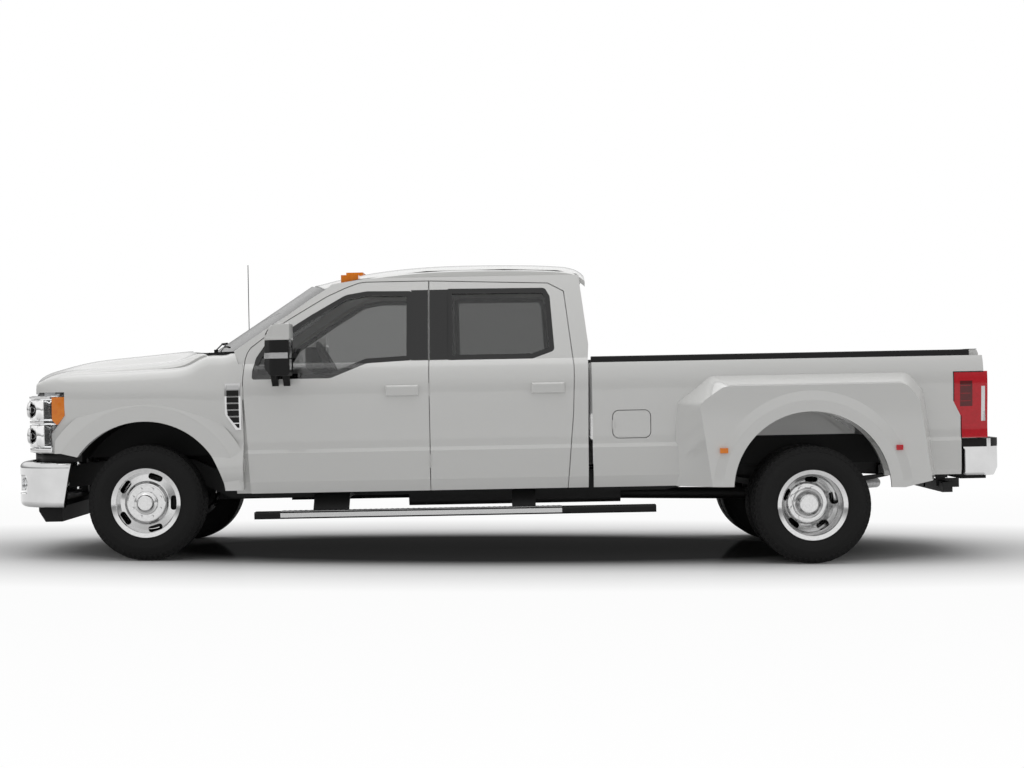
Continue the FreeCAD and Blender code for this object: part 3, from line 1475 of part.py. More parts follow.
def tow_receiver():
    """The square receiver tube on its beam, and the hangers that hold the beam under both rails."""
    x = receiver_beam_x
    depth = receiver_beam_depth
    parts = [block(x - depth, x + depth, -receiver_beam_half, receiver_beam_half, receiver_z - depth,
                   receiver_z + depth)]
    for y in (-rail_middle, rail_middle):
        parts.append(block(x - receiver_hanger_front, x + receiver_hanger_rear, y - receiver_hanger_half,
                           y + receiver_hanger_half, receiver_z, rail_kick_z + receiver_hanger_top))
    parts.append(block(x, x + receiver_length, -receiver_half, receiver_half, receiver_z - receiver_half,
                       receiver_z + receiver_half))
    return parts


def chassis_frame():
    """Two side rails tied by cross tubes, with body mounts, spring hangers and the tow receiver."""
    high = [(x, z + rail_height) for x, z in rail_points]
    rail = side_prism(rail_points + high[::-1], rail_outer_half - rail_width, rail_outer_half)
    parts = [rail, mirrored(rail)]
    for x, z in cross_tubes:
        parts.append(cylinder_y(x, z, cross_tube_r, -rail_middle, rail_middle))
    mount_z = rail_low_z + rail_height - body_mount_sink
    mount_height = floor_z - floor_thickness - seat_gap - mount_z
    for place in body_mounts:
        for y in (-rail_middle, rail_middle):
            parts.append(Part.makeCylinder(body_mount_r, mount_height, vec(place, y, mount_z)))
    bore = receiver_half - receiver_wall
    socket = block(receiver_beam_x - receiver_length, receiver_beam_x + 2 * receiver_length, -bore, bore,
                   receiver_z - bore, receiver_z + bore)
    return fused(parts + spring_hangers() + tow_receiver()).cut(socket)


def springs_and_dampers():
    """Front coils on the axle's beam and the rear leaf packs over the axle's tubes, one at each corner."""
    parts = []
    x = rear_axle_x
    end_z = spring_seat_z + leaf_end_rise
    outline = [(x - leaf_seat_half_length, spring_seat_z), (x + leaf_seat_half_length, spring_seat_z),
               (x + leaf_reach, end_z), (x + leaf_reach, end_z + leaf_end),
               (x + leaf_pack_half_length, spring_seat_z + leaf_pack),
               (x - leaf_pack_half_length, spring_seat_z + leaf_pack),
               (x - leaf_reach, end_z + leaf_end), (x - leaf_reach, end_z)]
    foot = tyre_r + axle_tube_r + seat_gap
    for side in (-1, 1):
        parts.append(Part.makeCylinder(coil_r, coil_top_z - foot, vec(front_axle_x, side * coil_half, foot)))
        low = side * leaf_half - leaf_width / 2
        parts.append(side_prism(outline, low, low + leaf_width))
    return Part.makeCompound(parts)


# Wheels, drawn about the crossways line through the hub
def tyre(x, middle):
    """A tyre as flat facets round a hub line, standing on one facet."""
    half_profile = [(tyre_bead_r, tyre_bead_half), (tyre_wall_low_r, tyre_half_width),
                    (tyre_wall_high_r, tyre_wall_high_half), (tyre_r, tread_half)]
    profile = [(r, middle + half) for r, half in half_profile]
    profile += [(r, middle - half) for r, half in half_profile[::-1]]
    step = 2 * math.pi / tyre_sides
    stretch = 1 / math.cos(step / 2)
    rings = []
    for side in range(tyre_sides):
        angle = step * (side + 0.5)
        row = []
        for radius, half in profile:
            reach = radius * stretch
            row.append(vec(x + reach * math.sin(angle), half, tyre_r + reach * math.cos(angle)))
        rings.append(row)
    faces = []
    for side in range(tyre_sides):
        here = rings[side]
        ahead = rings[(side + 1) % tyre_sides]
        for index in range(len(profile)):
            other = (index + 1) % len(profile)
            corners = [here[index], here[other], ahead[other], ahead[index], here[index]]
            faces.append(Part.Face(Part.makePolygon(corners)))
    return Part.makeSolid(Part.makeShell(faces))


# The rim's section from inner to outer edge, as radii and distances out from the rim's middle
rim_profile = [(flange_r, -edge_half - flange_width), (flange_r, -edge_half), (barrel_r, -rim_half),
               (barrel_r, -62.0), (well_r + rim_wall, -37.0), (well_r + rim_wall, 10.0), (barrel_r, 45.0),
               (barrel_r, rim_half), (flange_r, edge_half), (flange_r, edge_half + flange_width),
               (barrel_r - rim_wall, rim_half + 2.0), (barrel_r - rim_wall, 50.0), (well_r, 12.0),
               (well_r, -39.0), (barrel_r - rim_wall, -64.0), (barrel_r - rim_wall, -rim_half - 2.0)]


def rim_barrel(x, middle):
    """A rim's barrel with its two flanges and its well, centred at a distance out."""
    return ring(x, tyre_r, [(radius, middle + half) for radius, half in rim_profile])


def slots(x, circle_r, length, width, half_low, half_high, turn_deg):
    """The oblong hand holes round a disc."""
    cutters = []
    long = length / 2
    wide = width / 2
    rounding = wide * slot_round_share
    outline = [(-long, -wide, rounding), (long, -wide, rounding), (long, wide, rounding), (-long, wide, rounding)]
    face = Part.Face(outline_wire(outline, lambda u, v: vec(u, half_low, circle_r + v)))
    for index in range(slot_count):
        cutter = face.extrude(vec(0, half_high - half_low, 0))
        cutter.rotate(vec(0, 0, 0), vec(0, 1, 0), turn_deg + 360 / slot_count * index)
        cutter.translate(vec(x, 0, tyre_r))
        cutters.append(cutter)
    return Part.makeCompound(cutters)


def lugs(x, circle_r, radius, half_low, half_high):
    nuts = []
    for index in range(lug_count):
        angle = 2 * math.pi / lug_count * (index + 0.5)
        place = vec(x + circle_r * math.sin(angle), half_low, tyre_r + circle_r * math.cos(angle))
        nuts.append(Part.makeCylinder(radius, half_high - half_low, place, vec(0, 1, 0)))
    return nuts


# The front wheel's disc and cap, as radii and distances out from the disc's plane
front_disc_half = 952.0
front_disc_profile = [(0.0, -10.0), (0.0, 6.0), (128.0, 6.0, 12.0), (148.0, -22.0, 12.0),
                      (barrel_r - rim_wall / 2, -34.0), (barrel_r - rim_wall / 2, -46.0), (140.0, -36.0),
                      (122.0, -10.0)]
front_cap_profile = [(0.0, 0.0), (0.0, 48.0), (48.0, 48.0, 6.0), (58.0, 36.0, 5.0), (66.0, 30.0, 4.0),
                     (78.0, 26.0, 6.0), (82.0, 0.0)]
front_slot_r = 180.0
front_slot_length = 98.0
front_slot_width = 42.0
front_slot_turn = 18.0
front_nut_height = 26.0


def placed(profile, half):
    """A profile of (radius, distance out) points moved out to the given half-width."""
    return [(point[0], half + point[1]) + tuple(point[2:]) for point in profile]


def front_wheel():
    """The right front rim, with its disc bulging outwards round a hub cap and a ring of nuts."""
    x = front_axle_x
    barrel = rim_barrel(x, front_track_half)
    disc = ring(x, tyre_r, placed(front_disc_profile, front_disc_half))
    disc = disc.cut(slots(x, front_slot_r, front_slot_length, front_slot_width, front_disc_half - rim_half,
                          front_disc_half + rim_half, front_slot_turn))
    cap = ring(x, tyre_r, placed(front_cap_profile, front_disc_half))
    nuts = lugs(x, lug_circle_r, lug_r, front_disc_half, front_disc_half + front_nut_height)
    return fused([barrel, disc, cap] + nuts)


# The rear wheels' discs meet at the hub face, and each reaches out or in to its own rim
rear_disc_half = 940.0
disc_thickness = 11.0
rear_disc_out = rear_outer_half - rear_disc_half - 10.0
rear_disc_in = rear_inner_half - rear_disc_half + 45.0
rear_outer_profile = [(0.0, 0.0), (0.0, disc_thickness), (136.0, disc_thickness, 14.0),
                      (160.0, rear_disc_out - 30.0, 14.0), (well_r + 5.0, rear_disc_out),
                      (well_r + 5.0, rear_disc_out - 15.0), (170.0, rear_disc_out - 50.0, 14.0),
                      (145.0, 0.0, 10.0)]
rear_inner_profile = [(0.0, 0.0), (0.0, -disc_thickness), (136.0, -disc_thickness, 14.0),
                      (160.0, rear_disc_in, 10.0), (barrel_r - 5.0, rear_disc_in),
                      (barrel_r - 5.0, rear_disc_in + disc_thickness),
                      (168.0, rear_disc_in + disc_thickness, 10.0), (145.0, 0.0, 10.0)]
rear_cap_profile = [(0.0, 0.0), (0.0, 100.0), (66.0, 100.0, 14.0), (74.0, 62.0, 6.0), (86.0, 46.0, 8.0),
                    (104.0, 40.0, 10.0), (104.0, 0.0)]
rear_slot_r = 165.0
rear_slot_length = 84.0
rear_slot_width = 40.0
rear_slot_turn = 4.0
rear_lobe_circle_r = 98.0
rear_lobe_r = 21.0
rear_lobe_height = 36.0
slot_lap = 1.0


def rear_wheels():
    """Both right rear rims, bolted face to face at the hub, with a deep lobed cap over the axle's end."""
    x = rear_axle_x
    disc_out = ring(x, tyre_r, placed(rear_outer_profile, rear_disc_half))
    disc_in = ring(x, tyre_r, placed(rear_inner_profile, rear_disc_half))
    size = (rear_slot_r, rear_slot_length, rear_slot_width)
    disc_out = disc_out.cut(slots(x, *size, rear_disc_half - slot_lap, rear_outer_half + rim_half, rear_slot_turn))
    disc_in = disc_in.cut(slots(x, *size, rear_inner_half, rear_disc_half - slot_lap, rear_slot_turn))
    cap = ring(x, tyre_r, placed(rear_cap_profile, rear_disc_half))
    lobes = lugs(x, rear_lobe_circle_r, rear_lobe_r, rear_disc_half, rear_disc_half + rear_lobe_height)
    barrels = [rim_barrel(x, rear_outer_half), rim_barrel(x, rear_inner_half)]
    return fused(barrels + [disc_out, disc_in, cap] + lobes)


# Axles and steering
yoke_reach = 92.0
yoke_tip = 25.0
yoke_half_length = 30.0
yoke_thickness = 30.0
knuckle_height = 70.0
knuckle_r = 32.0
spindle_r = 36.0
front_case_r = 132.0
front_case_x = front_axle_x - 34.0
front_case_half = 230.0
front_tube_end = 10.0
brake_r = 160.0
brake_start = 68.0
brake_width = 30.0
arm_half_width = 21.0
arm_tip = 25.0
arm_drop = 60.0
arm_thickness = 22.0
rod_r = 15.0
rod_drop = 30.0
stud_r = 19.0
stud_height = 32.0
stud_foot = 4.0
rod_lift = 2.0


def front_axle():
    """The front axle's beam with its gear housing and the forks that hold both knuckles."""
    x = front_axle_x
    z = tyre_r
    inner = kingpin_half - yoke_reach
    parts = [cylinder_y(x, z, axle_tube_r, -inner - front_tube_end, inner + front_tube_end)]
    parts.append(Part.makeSphere(front_case_r, vec(front_case_x, front_case_half, z)))
    ear_low = z - knuckle_height - seat_gap - yoke_thickness
    ear_high = z + knuckle_height + seat_gap
    for side in (-1, 1):
        low, high = mirror_span(inner, kingpin_half + yoke_tip, side)
        for z_low in (ear_low, ear_high):
            parts.append(block(x - yoke_half_length, x + yoke_half_length, low, high, z_low, z_low + yoke_thickness))
        low, high = mirror_span(inner, inner + yoke_thickness, side)
        parts.append(block(x - yoke_half_length, x + yoke_half_length, low, high, ear_low, ear_high + yoke_thickness))
    return fused(parts)


def knuckle():
    """The right steering knuckle: a post between the fork's ears, the spindle, the brake and the steering arm."""
    x = front_axle_x
    z = tyre_r
    post = Part.makeCylinder(knuckle_r, 2 * knuckle_height, vec(x, kingpin_half, z - knuckle_height))
    spindle = cylinder_y(x, z, spindle_r, kingpin_half, front_disc_half + front_disc_profile[0][1] - seat_gap)
    brake = cylinder_y(x, z, brake_r, kingpin_half + brake_start, kingpin_half + brake_start + brake_width)
    arm = block(x, x + steer_arm + arm_tip, kingpin_half - arm_half_width, kingpin_half + arm_half_width,
                z - arm_drop, z - arm_drop + arm_thickness)
    return fused([post, spindle, brake, arm])


def tie_rod():
    """The rod across both steering arms, with a stud under each arm's end."""
    x = front_axle_x + steer_arm
    z = tyre_r - arm_drop - rod_drop + rod_lift - seat_gap
    parts = [cylinder_y(x, z, rod_r, -kingpin_half, kingpin_half)]
    for half in (-kingpin_half, kingpin_half):
        parts.append(Part.makeCylinder(stud_r, stud_height, vec(x, half, z - stud_foot)))
    return fused(parts)


rear_tube_r = 52.0
rear_case_r = 175.0
drum_r = 150.0
drum_inner_half = 690.0
drum_outer_half = 760.0
shaft_r = 42.0
shaft_z = 415.0
shaft_lap = 20.0
shaft_rise = 10.0
shaft_start = 120.0


def rear_axle():
    """The rear axle's housing with its gear case, brake drums and the shaft forward to the gearbox."""
    x = rear_axle_x
    z = tyre_r
    half = rear_disc_half - disc_thickness - seat_gap
    shaft = rod(vec(x - shaft_start, 0, z + shaft_rise), vec(gearbox_rear_x + shaft_lap, 0, shaft_z), shaft_r)
    parts = [cylinder_y(x, z, rear_tube_r, -half, half), Part.makeSphere(rear_case_r, vec(x, 0, z)), shaft]
    for side in (-1, 1):
        low, high = mirror_span(drum_inner_half, drum_outer_half, side)
        parts.append(cylinder_y(x, z, drum_r, low, high))
    return fused(parts)


# Engine, exhaust and tank
engine_front_x = front_axle_x - 320.0
engine_length = 700.0
engine_half = 300.0
engine_low_z = 500.0
engine_high_z = 1060.0
engine_recess_length = 190.0
engine_recess_low_half = 60.0
engine_recess_high_half = 400.0
engine_recess_rise = 190.0
engine_mount_front = 20.0
engine_mount_rear = 60.0
engine_mount_low_z = 570.0
engine_mount_high_z = 630.0
gearbox_rear_x = engine_front_x + engine_length + 800.0
gearbox_half = 170.0
gearbox_low_z = 360.0
gearbox_headroom = 15.0


def engine_and_gearbox():
    """The engine as one plain block on its mounts, hollowed over the axle's gear case, with the gearbox."""
    split_x = engine_front_x + engine_length
    engine = block(engine_front_x, split_x, -engine_half, engine_half, engine_low_z, engine_high_z)
    gearbox = block(split_x, gearbox_rear_x, -gearbox_half, gearbox_half, gearbox_low_z,
                    floor_z - floor_thickness - gearbox_headroom)
    inner = rail_outer_half - rail_width - seat_gap
    mounts = block(front_axle_x - engine_mount_front, front_axle_x + engine_mount_rear, -inner, inner,
                   engine_mount_low_z, engine_mount_high_z)
    recess = block(front_axle_x - engine_recess_length, front_axle_x + engine_recess_length, engine_recess_low_half,
                   engine_recess_high_half, 0, tyre_r + engine_recess_rise)
    return fused([engine, gearbox, mounts]).cut(recess)


exhaust_half = 250.0
exhaust_z = 430.0
exhaust_r = 38.0
silencer_r = 90.0
silencer_front_x = front_axle_x + 2300.0
silencer_rear_x = front_axle_x + 2900.0
exhaust_bends = [(gearbox_rear_x - 500.0, 0.0, 0.0), (rear_axle_x - 620.0, 0.0, 0.0),
                 (rear_axle_x - 330.0, 0.0, 230.0), (rear_axle_x + 330.0, 0.0, 230.0),
                 (rear_axle_x + 560.0, 0.0, -70.0), (rear_axle_x + 800.0, 440.0, -90.0)]
exhaust_hanger_half = 15.0
exhaust_hanger_sink = 10.0


def exhaust():
    """A pipe down the right side, through a silencer, to a tailpipe behind the rear wheels."""
    points = [vec(x, exhaust_half + out, exhaust_z + up) for x, out, up in exhaust_bends]
    parts = [rod(vec(silencer_front_x, exhaust_half, exhaust_z), vec(silencer_rear_x, exhaust_half, exhaust_z),
                 silencer_r)]
    for start, end in zip(points, points[1:]):
        parts.append(rod(start, end, exhaust_r))
    for point in points[1:-1]:
        parts.append(Part.makeSphere(exhaust_r, point))
    middle_x = (silencer_front_x + silencer_rear_x) / 2
    parts.append(block(middle_x - exhaust_hanger_half, middle_x + exhaust_hanger_half,
                       exhaust_half - exhaust_hanger_half, exhaust_half + exhaust_hanger_half,
                       exhaust_z + silencer_r - exhaust_hanger_sink, floor_z - floor_thickness - seat_gap))
    return fused(parts)


tank_front_x = front_axle_x + 1750.0
tank_rear_x = front_axle_x + 3250.0
tank_inner_half = 80.0
tank_low_z = 300.0
tank_high_z = 545.0
tank_round = 40.0


def fuel_tank():
    """The fuel tank, inside the left rail."""
    tank = block(tank_front_x, tank_rear_x, -rail_outer_half + rail_width + seat_gap, -tank_inner_half,
                 tank_low_z, tank_high_z)
    edges = [edge for edge in tank.Edges if edge.BoundBox.XLength > tank_inner_half]
    return tank.makeFillet(tank_round, edges)


# Running boards
board_low_z = 274.0
board_high_z = 322.0
board_inner_half = 985.0
board_outer_half = 1092.0
board_front_x = front_axle_x + 755.0
board_rear_x = front_axle_x + 3445.0
board_round = 14.0
bracket_places = [(front_axle_x + 1140.0, 240.0), (front_axle_x + 2480.0, 160.0)]
bracket_lap = 20.0
bracket_inset = 8.0
bracket_high_z = sill_z - 14.0
bracket_low_z = sill_z - 44.0
bracket_high_bend = 90.0
bracket_low_bend = 110.0


def running_board():
    """The right running board on two wide brackets from the chassis frame."""
    board = block(board_front_x, board_rear_x, board_inner_half, board_outer_half, board_low_z, board_high_z)
    middle = (board_inner_half + board_outer_half) / 2
    outer = [edge for edge in board.Edges if edge.BoundBox.YMin > middle and edge.BoundBox.XLength > board_round]
    parts = [board.makeFillet(board_round, outer)]
    foot_half = rail_outer_half + seat_gap
    for x, length in bracket_places:
        section = [(board_inner_half + bracket_lap, board_low_z + bracket_inset),
                   (board_inner_half + bracket_lap, board_high_z - bracket_inset),
                   (board_inner_half - bracket_high_bend, bracket_high_z), (foot_half, bracket_high_z),
                   (foot_half, bracket_low_z), (board_inner_half - bracket_low_bend, bracket_low_z)]
        wire = outline_wire(section, lambda u, v: vec(x, u, v))
        parts.append(Part.Face(wire).extrude(vec(length, 0, 0)))
    return fused(parts)


# Door mirrors: side and top outlines as shares of the length and of the height or width
mirror_x = front_axle_x + 855.0
mirror_length = 180.0
mirror_inner_half = 1088.0
mirror_outer_half = 1296.0
mirror_low_z = 1232.0
mirror_high_z = 1578.0
mirror_side_shares = [(0.0, 0.16, 22.0), (0.30, 0.0, 30.0), (0.94, 0.0, 10.0), (1.0, 0.06, 10.0),
                      (0.97, 0.95, 14.0), (0.84, 1.0, 14.0), (0.36, 0.98, 40.0), (0.07, 0.80, 60.0)]
mirror_plan_shares = [(0.34, 0.0, 20.0), (1.0, 0.0, 8.0), (1.0, 1.0, 10.0), (0.30, 1.0, 40.0), (0.0, 0.62, 60.0),
                      (0.06, 0.16, 30.0)]
mirror_pocket = 9.0
mirror_rim = 15.0
mirror_arm_starts = [26.0, 104.0]
mirror_arm_width = 44.0
mirror_arm_foot = [(-14.0, -40.0), (-4.0, 22.0)]
mirror_arm_head = [(30.0, 92.0), (56.0, 92.0), (56.0, 40.0)]


def mirror():
    """The right door mirror: a tall rounded housing on two arms from the door's shoulder."""
    width = mirror_outer_half - mirror_inner_half
    height = mirror_high_z - mirror_low_z
    side_view = [(mirror_x + mirror_length * u, mirror_low_z + height * v, r) for u, v, r in mirror_side_shares]
    plan_view = [(mirror_x + mirror_length * u, mirror_inner_half + width * v, r) for u, v, r in mirror_plan_shares]
    shell = side_prism(side_view, mirror_inner_half - overrun, mirror_outer_half + overrun)
    shell = shell.common(plan_prism(plan_view, mirror_low_z - overrun, mirror_high_z + overrun))
    rear_x = mirror_x + mirror_length
    pocket = block(rear_x - mirror_pocket, rear_x + overrun, mirror_inner_half + mirror_rim,
                   mirror_outer_half - mirror_rim, mirror_low_z + 2 * mirror_rim, mirror_high_z - 2 * mirror_rim)
    parts = [shell.cut(pocket)]
    for start in mirror_arm_starts:
        section = [(shoulder_half + out, shoulder_z + up) for out, up in mirror_arm_foot]
        section += [(mirror_inner_half + out, mirror_low_z + up) for out, up in mirror_arm_head]
        wire = outline_wire(section, lambda u, v: vec(mirror_x + start, u, v))
        parts.append(Part.Face(wire).extrude(vec(mirror_arm_width, 0, 0)))
    door_side = side_band(-seat_gap, side_thickness, mirror_x - overrun, rear_x + overrun)
    return fused(parts).cut(door_side)


# Dashboard: its section in distances back from the firewall and heights
dash_front_x = firewall_x + seat_gap
dash_section = [(0.0, 900.0), (330.0, 860.0, 40.0), (560.0, 980.0, 50.0), (560.0, 1180.0, 60.0),
                (330.0, 1300.0, 60.0), (0.0, 1318.0)]
console_front = 300.0
console_rear = 1450.0
console_half = 160.0
console_high_z = 900.0
dial_hood_x = dash_front_x + 500.0
dial_hood_z = 1150.0
dial_hood_r = 90.0
dial_hood_inner_half = 200.0
dial_hood_outer_half = 600.0


def dashboard():
    """The dashboard across the cab, with the hood over the dials and the centre console behind it."""
    half = cab_inner_half - 2 * inner_gap
    outline = [(dash_front_x + point[0],) + tuple(point[1:]) for point in dash_section]
    body = side_prism(outline, -half, half)
    console = block(dash_front_x + console_front, dash_front_x + console_rear, -console_half, console_half,
                    floor_z + seat_gap, console_high_z)
    dial_hood = cylinder_y(dial_hood_x, dial_hood_z, dial_hood_r, -dial_hood_outer_half, -dial_hood_inner_half)
    return fused([body, console, dial_hood])


steering_x = dash_front_x + 660.0
steering_half = 400.0
steering_z = 1290.0
steering_tilt_deg = 62
steering_rim_r = 190.0
steering_grip_r = 17.0
steering_hub_r = 60.0
steering_hub_depth = 50.0
steering_hub_drop = 30.0
spoke_count = 3
spoke_turn_deg = 30
spoke_width = 34.0
spoke_thickness = 16.0
spoke_drop = 12.0
column_r = 26.0
column_length = 220.0
column_drop = 240.0


def steering_wheel():
    """The steering wheel and the stub of its column, tilted towards the driver."""
    parts = [Part.makeTorus(steering_rim_r, steering_grip_r),
             Part.makeCylinder(steering_hub_r, steering_hub_depth, vec(0, 0, -steering_hub_drop)),
             Part.makeCylinder(column_r, column_length, vec(0, 0, -column_drop))]
    for index in range(spoke_count):
        spoke = Part.makeBox(steering_rim_r - steering_grip_r / 2, spoke_width, spoke_thickness,
                             vec(0, -spoke_width / 2, -spoke_drop))
        spoke.rotate(vec(0, 0, 0), vec(0, 0, 1), 360 / spoke_count * index + spoke_turn_deg)
        parts.append(spoke)
    solid = fused(parts)
    solid.rotate(vec(0, 0, 0), vec(0, 1, 0), steering_tilt_deg)
    solid.translate(vec(steering_x, -steering_half, steering_z))
    return solid.cut(dashboard())


# Seats: the side outlines are distances back from a seat's front and heights
seat_base_high_z = 760.0
cushion_low_z = 750.0
cushion_high_z = 900.0
cushion_round = 38.0
front_seat_x = front_axle_x + 1290.0
front_seat_half = 440.0
front_seat_width = 520.0
front_seat_length = 540.0
front_base_front = 60.0
front_base_rear = 40.0
front_base_inset = 40.0
front_back_inset = 8.0
front_rest_half = 140.0
front_back_outline = [(430.0, 840.0), (560.0, 840.0), (690.0, 1430.0, 40.0), (580.0, 1430.0, 40.0)]
front_rest_outline = [(610.0, 1420.0), (670.0, 1420.0), (705.0, 1630.0, 30.0), (620.0, 1630.0, 30.0)]
bench_x = front_axle_x + 2260.0
bench_half = 740.0
bench_length = 500.0
bench_base_half = 700.0
bench_base_front = 40.0
bench_base_rear = 420.0
bench_rest_half = 130.0
bench_rest_places = [-430.0, 430.0]
bench_back_outline = [(400.0, 860.0), (500.0, 860.0), (590.0, 1400.0, 30.0), (520.0, 1400.0, 30.0)]
bench_rest_outline = [(530.0, 1390.0), (585.0, 1390.0), (590.0, 1520.0, 20.0), (540.0, 1520.0, 20.0)]


def seat_prism(x, outline, half_low, half_high):
    return side_prism([(x + point[0],) + tuple(point[1:]) for point in outline], half_low, half_high)


def front_seat(half):
    """One front seat as a cushion, a leaning back, a head rest and a base on the floor."""
    x = front_seat_x
    low = half - front_seat_width / 2
    high = half + front_seat_width / 2
    base = block(x + front_base_front, x + front_seat_length - front_base_rear, low + front_base_inset,
                 high - front_base_inset, floor_z + seat_gap, seat_base_high_z)
    cushion = block(x, x + front_seat_length, low, high, cushion_low_z, cushion_high_z)
    cushion = cushion.makeFillet(cushion_round, cushion.Edges)
    back = seat_prism(x, front_back_outline, low + front_back_inset, high - front_back_inset)
    rest = seat_prism(x, front_rest_outline, half - front_rest_half, half + front_rest_half)
    return fused([base, cushion, back, rest])


def front_seats():
    return Part.makeCompound([front_seat(-front_seat_half), front_seat(front_seat_half)])


def rear_bench():
    """The rear bench, a full-width cushion and back with two head rests."""
    x = bench_x
    base = block(x + bench_base_front, x + bench_base_rear, -bench_base_half, bench_base_half, floor_z + seat_gap,
                 seat_base_high_z)
    cushion = block(x, x + bench_length, -bench_half, bench_half, cushion_low_z, cushion_high_z)
    parts = [base, cushion.makeFillet(cushion_round, cushion.Edges),
             seat_prism(x, bench_back_outline, -bench_half, bench_half)]
    for half in bench_rest_places:
        parts.append(seat_prism(x, bench_rest_outline, half - bench_rest_half, half + bench_rest_half))
    return fused(parts)


# Small lamps on the roof's front and on the rear flares
roof_lamp_x = front_axle_x + 1320.0
roof_lamp_length = 120.0
roof_lamp_half_width = 45.0
roof_lamp_halves = [-560.0, -150.0, 0.0, 150.0, 560.0]
roof_lamp_rise = 18.0
roof_lamp_crown_share = 0.62
flare_lamp_low_z = 663.0
flare_lamp_high_z = 697.0
flare_lamp_proud = 5.0
front_flare_lamp = (-606.0, -553.0)
rear_flare_lamp = (562.0, 606.0)


def flare_lamps(flare, span):
    """A small lamp on each rear flare's lip, over a span of distances back from the axle."""
    low_x = rear_axle_x + span[0]
    high_x = rear_axle_x + span[1]
    shell = block(low_x, high_x, flare_half - flare_wall / 2, lip_half + flare_lamp_proud, flare_lamp_low_z,
                  flare_lamp_high_z)
    lamp = shell.cut(flare)
    return [mirrored(lamp), lamp]


def amber_lamps(flare):
    """Five clearance lamps over the windshield, the headlamps' side markers and one on each rear flare."""
    lamps = []
    high_x = roof_lamp_x + roof_lamp_length
    under_roof = sheet(roof_rows(), vec(0, 0, -roof_crown_z))
    for half in roof_lamp_halves:
        share = abs(half) / (drip_half - pillar_thickness)
        top = roof_front_z + (roof_crown_z - roof_front_z) * roof_lamp_crown_share
        top += roof_lamp_rise - roof_rail_dip * share ** 3
        shell = block(roof_lamp_x, high_x, half - roof_lamp_half_width, half + roof_lamp_half_width, drip_z - overrun,
                      top)
        lamps.append(shell.cut(under_roof))
    marker = side_marker()
    return Part.makeCompound(lamps + [mirrored(marker), marker] + flare_lamps(flare, front_flare_lamp))


def tail_lamps(flare):
    lamp = tail_lamp()
    return Part.makeCompound([mirrored(lamp), lamp] + flare_lamps(flare, rear_flare_lamp))


def raked(shape):
    """The sprung body sits tail-high on its suspension."""
    shape.rotate(vec(front_axle_x, 0, 0), vec(0, 1, 0), -rake_deg)
    return shape


front_handle_x = a_line_x + 960.0
rear_handle_x = b_line_x + 690.0


def body_nodes():
    """Every piece of the sprung body, before the rake."""
    rear_wall, rear_pane = rear_wall_and_screen()
    front_door = door(front_door_face(), front_window_face(), front_handle_x)
    rear_door = door(rear_door_face(), rear_window_face(), rear_handle_x)
    front_glass = glass(front_window_face(), glass_setback)
    rear_glass = glass(rear_window_face(), glass_setback)
    flare = rear_flare()
    nodes = {
        "chassis_frame": chassis_frame(),
        "engine_and_gearbox": engine_and_gearbox(),
        "exhaust": exhaust(),
        "fuel_tank": fuel_tank(),
        "cab_floor": cab_floor(),
        "cab_sides": both_sides(cab_side()),
        "cab_back": rear_wall,
        "cab_roof": cab_roof(),
        "cab_glass": Part.makeCompound([windshield(), rear_pane]),
        "dashboard": dashboard(),
        "steering_wheel": steering_wheel(),
        "front_seats": front_seats(),
        "rear_bench": rear_bench(),
        "front_fenders": both_sides(front_fender()),
        "fender_vents": both_sides(fender_vent()),
        "wheel_liners": Part.makeCompound([both_sides(front_liner()), both_sides(rear_liner())]),
        "grille": grille(),
        "radiator": radiator(),
        "headlamps": Part.makeCompound([headlamps(), fog_lamps()]),
        "front_bumper": front_bumper(),
        "valance": valance(),
        "cowl": cowl(),
        "wipers": wipers(),
        "antenna": antenna(),
        "amber_lamps": amber_lamps(flare),
        "running_boards": both_sides(running_board()),
        "bed": bed(),
        "box_sides": box_sides(),
        "rear_flares": both_sides(flare),
        "rail_caps": both_sides(rail_cap()),
        "tail_lamps": tail_lamps(flare),
        "rear_bumper": rear_bumper(),
        "hood": hood(),
        "tailgate": tailgate(),
        "fuel_door": fuel_door(),
    }
    for side, place in (("right", lambda shape: shape), ("left", mirrored)):
        nodes["front_door_" + side] = place(front_door)
        nodes["rear_door_" + side] = place(rear_door)
        nodes["front_glass_" + side] = place(front_glass)
        nodes["rear_glass_" + side] = place(rear_glass)
        nodes["mirror_" + side] = place(mirror())
    return nodes


def running_gear():
    """The axles, springs, steering and wheels, which stand level on the ground."""
    nodes = {
        "front_axle": front_axle(),
        "rear_axle": rear_axle(),
        "springs_and_dampers": springs_and_dampers(),
        "tie_rod": tie_rod(),
    }
    twin_tyres = Part.makeCompound([tyre(rear_axle_x, rear_inner_half), tyre(rear_axle_x, rear_outer_half)])
    for side, place in (("right", lambda shape: shape), ("left", mirrored)):
        nodes["knuckle_" + side] = place(knuckle())
        nodes["front_tyre_" + side] = place(tyre(front_axle_x, front_track_half))
        nodes["front_wheel_" + side] = place(front_wheel())
        nodes["rear_tyres_" + side] = place(twin_tyres)
        nodes["rear_wheels_" + side] = place(rear_wheels())
    return nodes


os.makedirs("parts", exist_ok=True)
for name, shape in body_nodes().items():
    raked(shape).exportStep("parts/" + name + ".step")
for name, shape in running_gear().items():
    shape.exportStep("parts/" + name + ".step")
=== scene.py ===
import json
import math

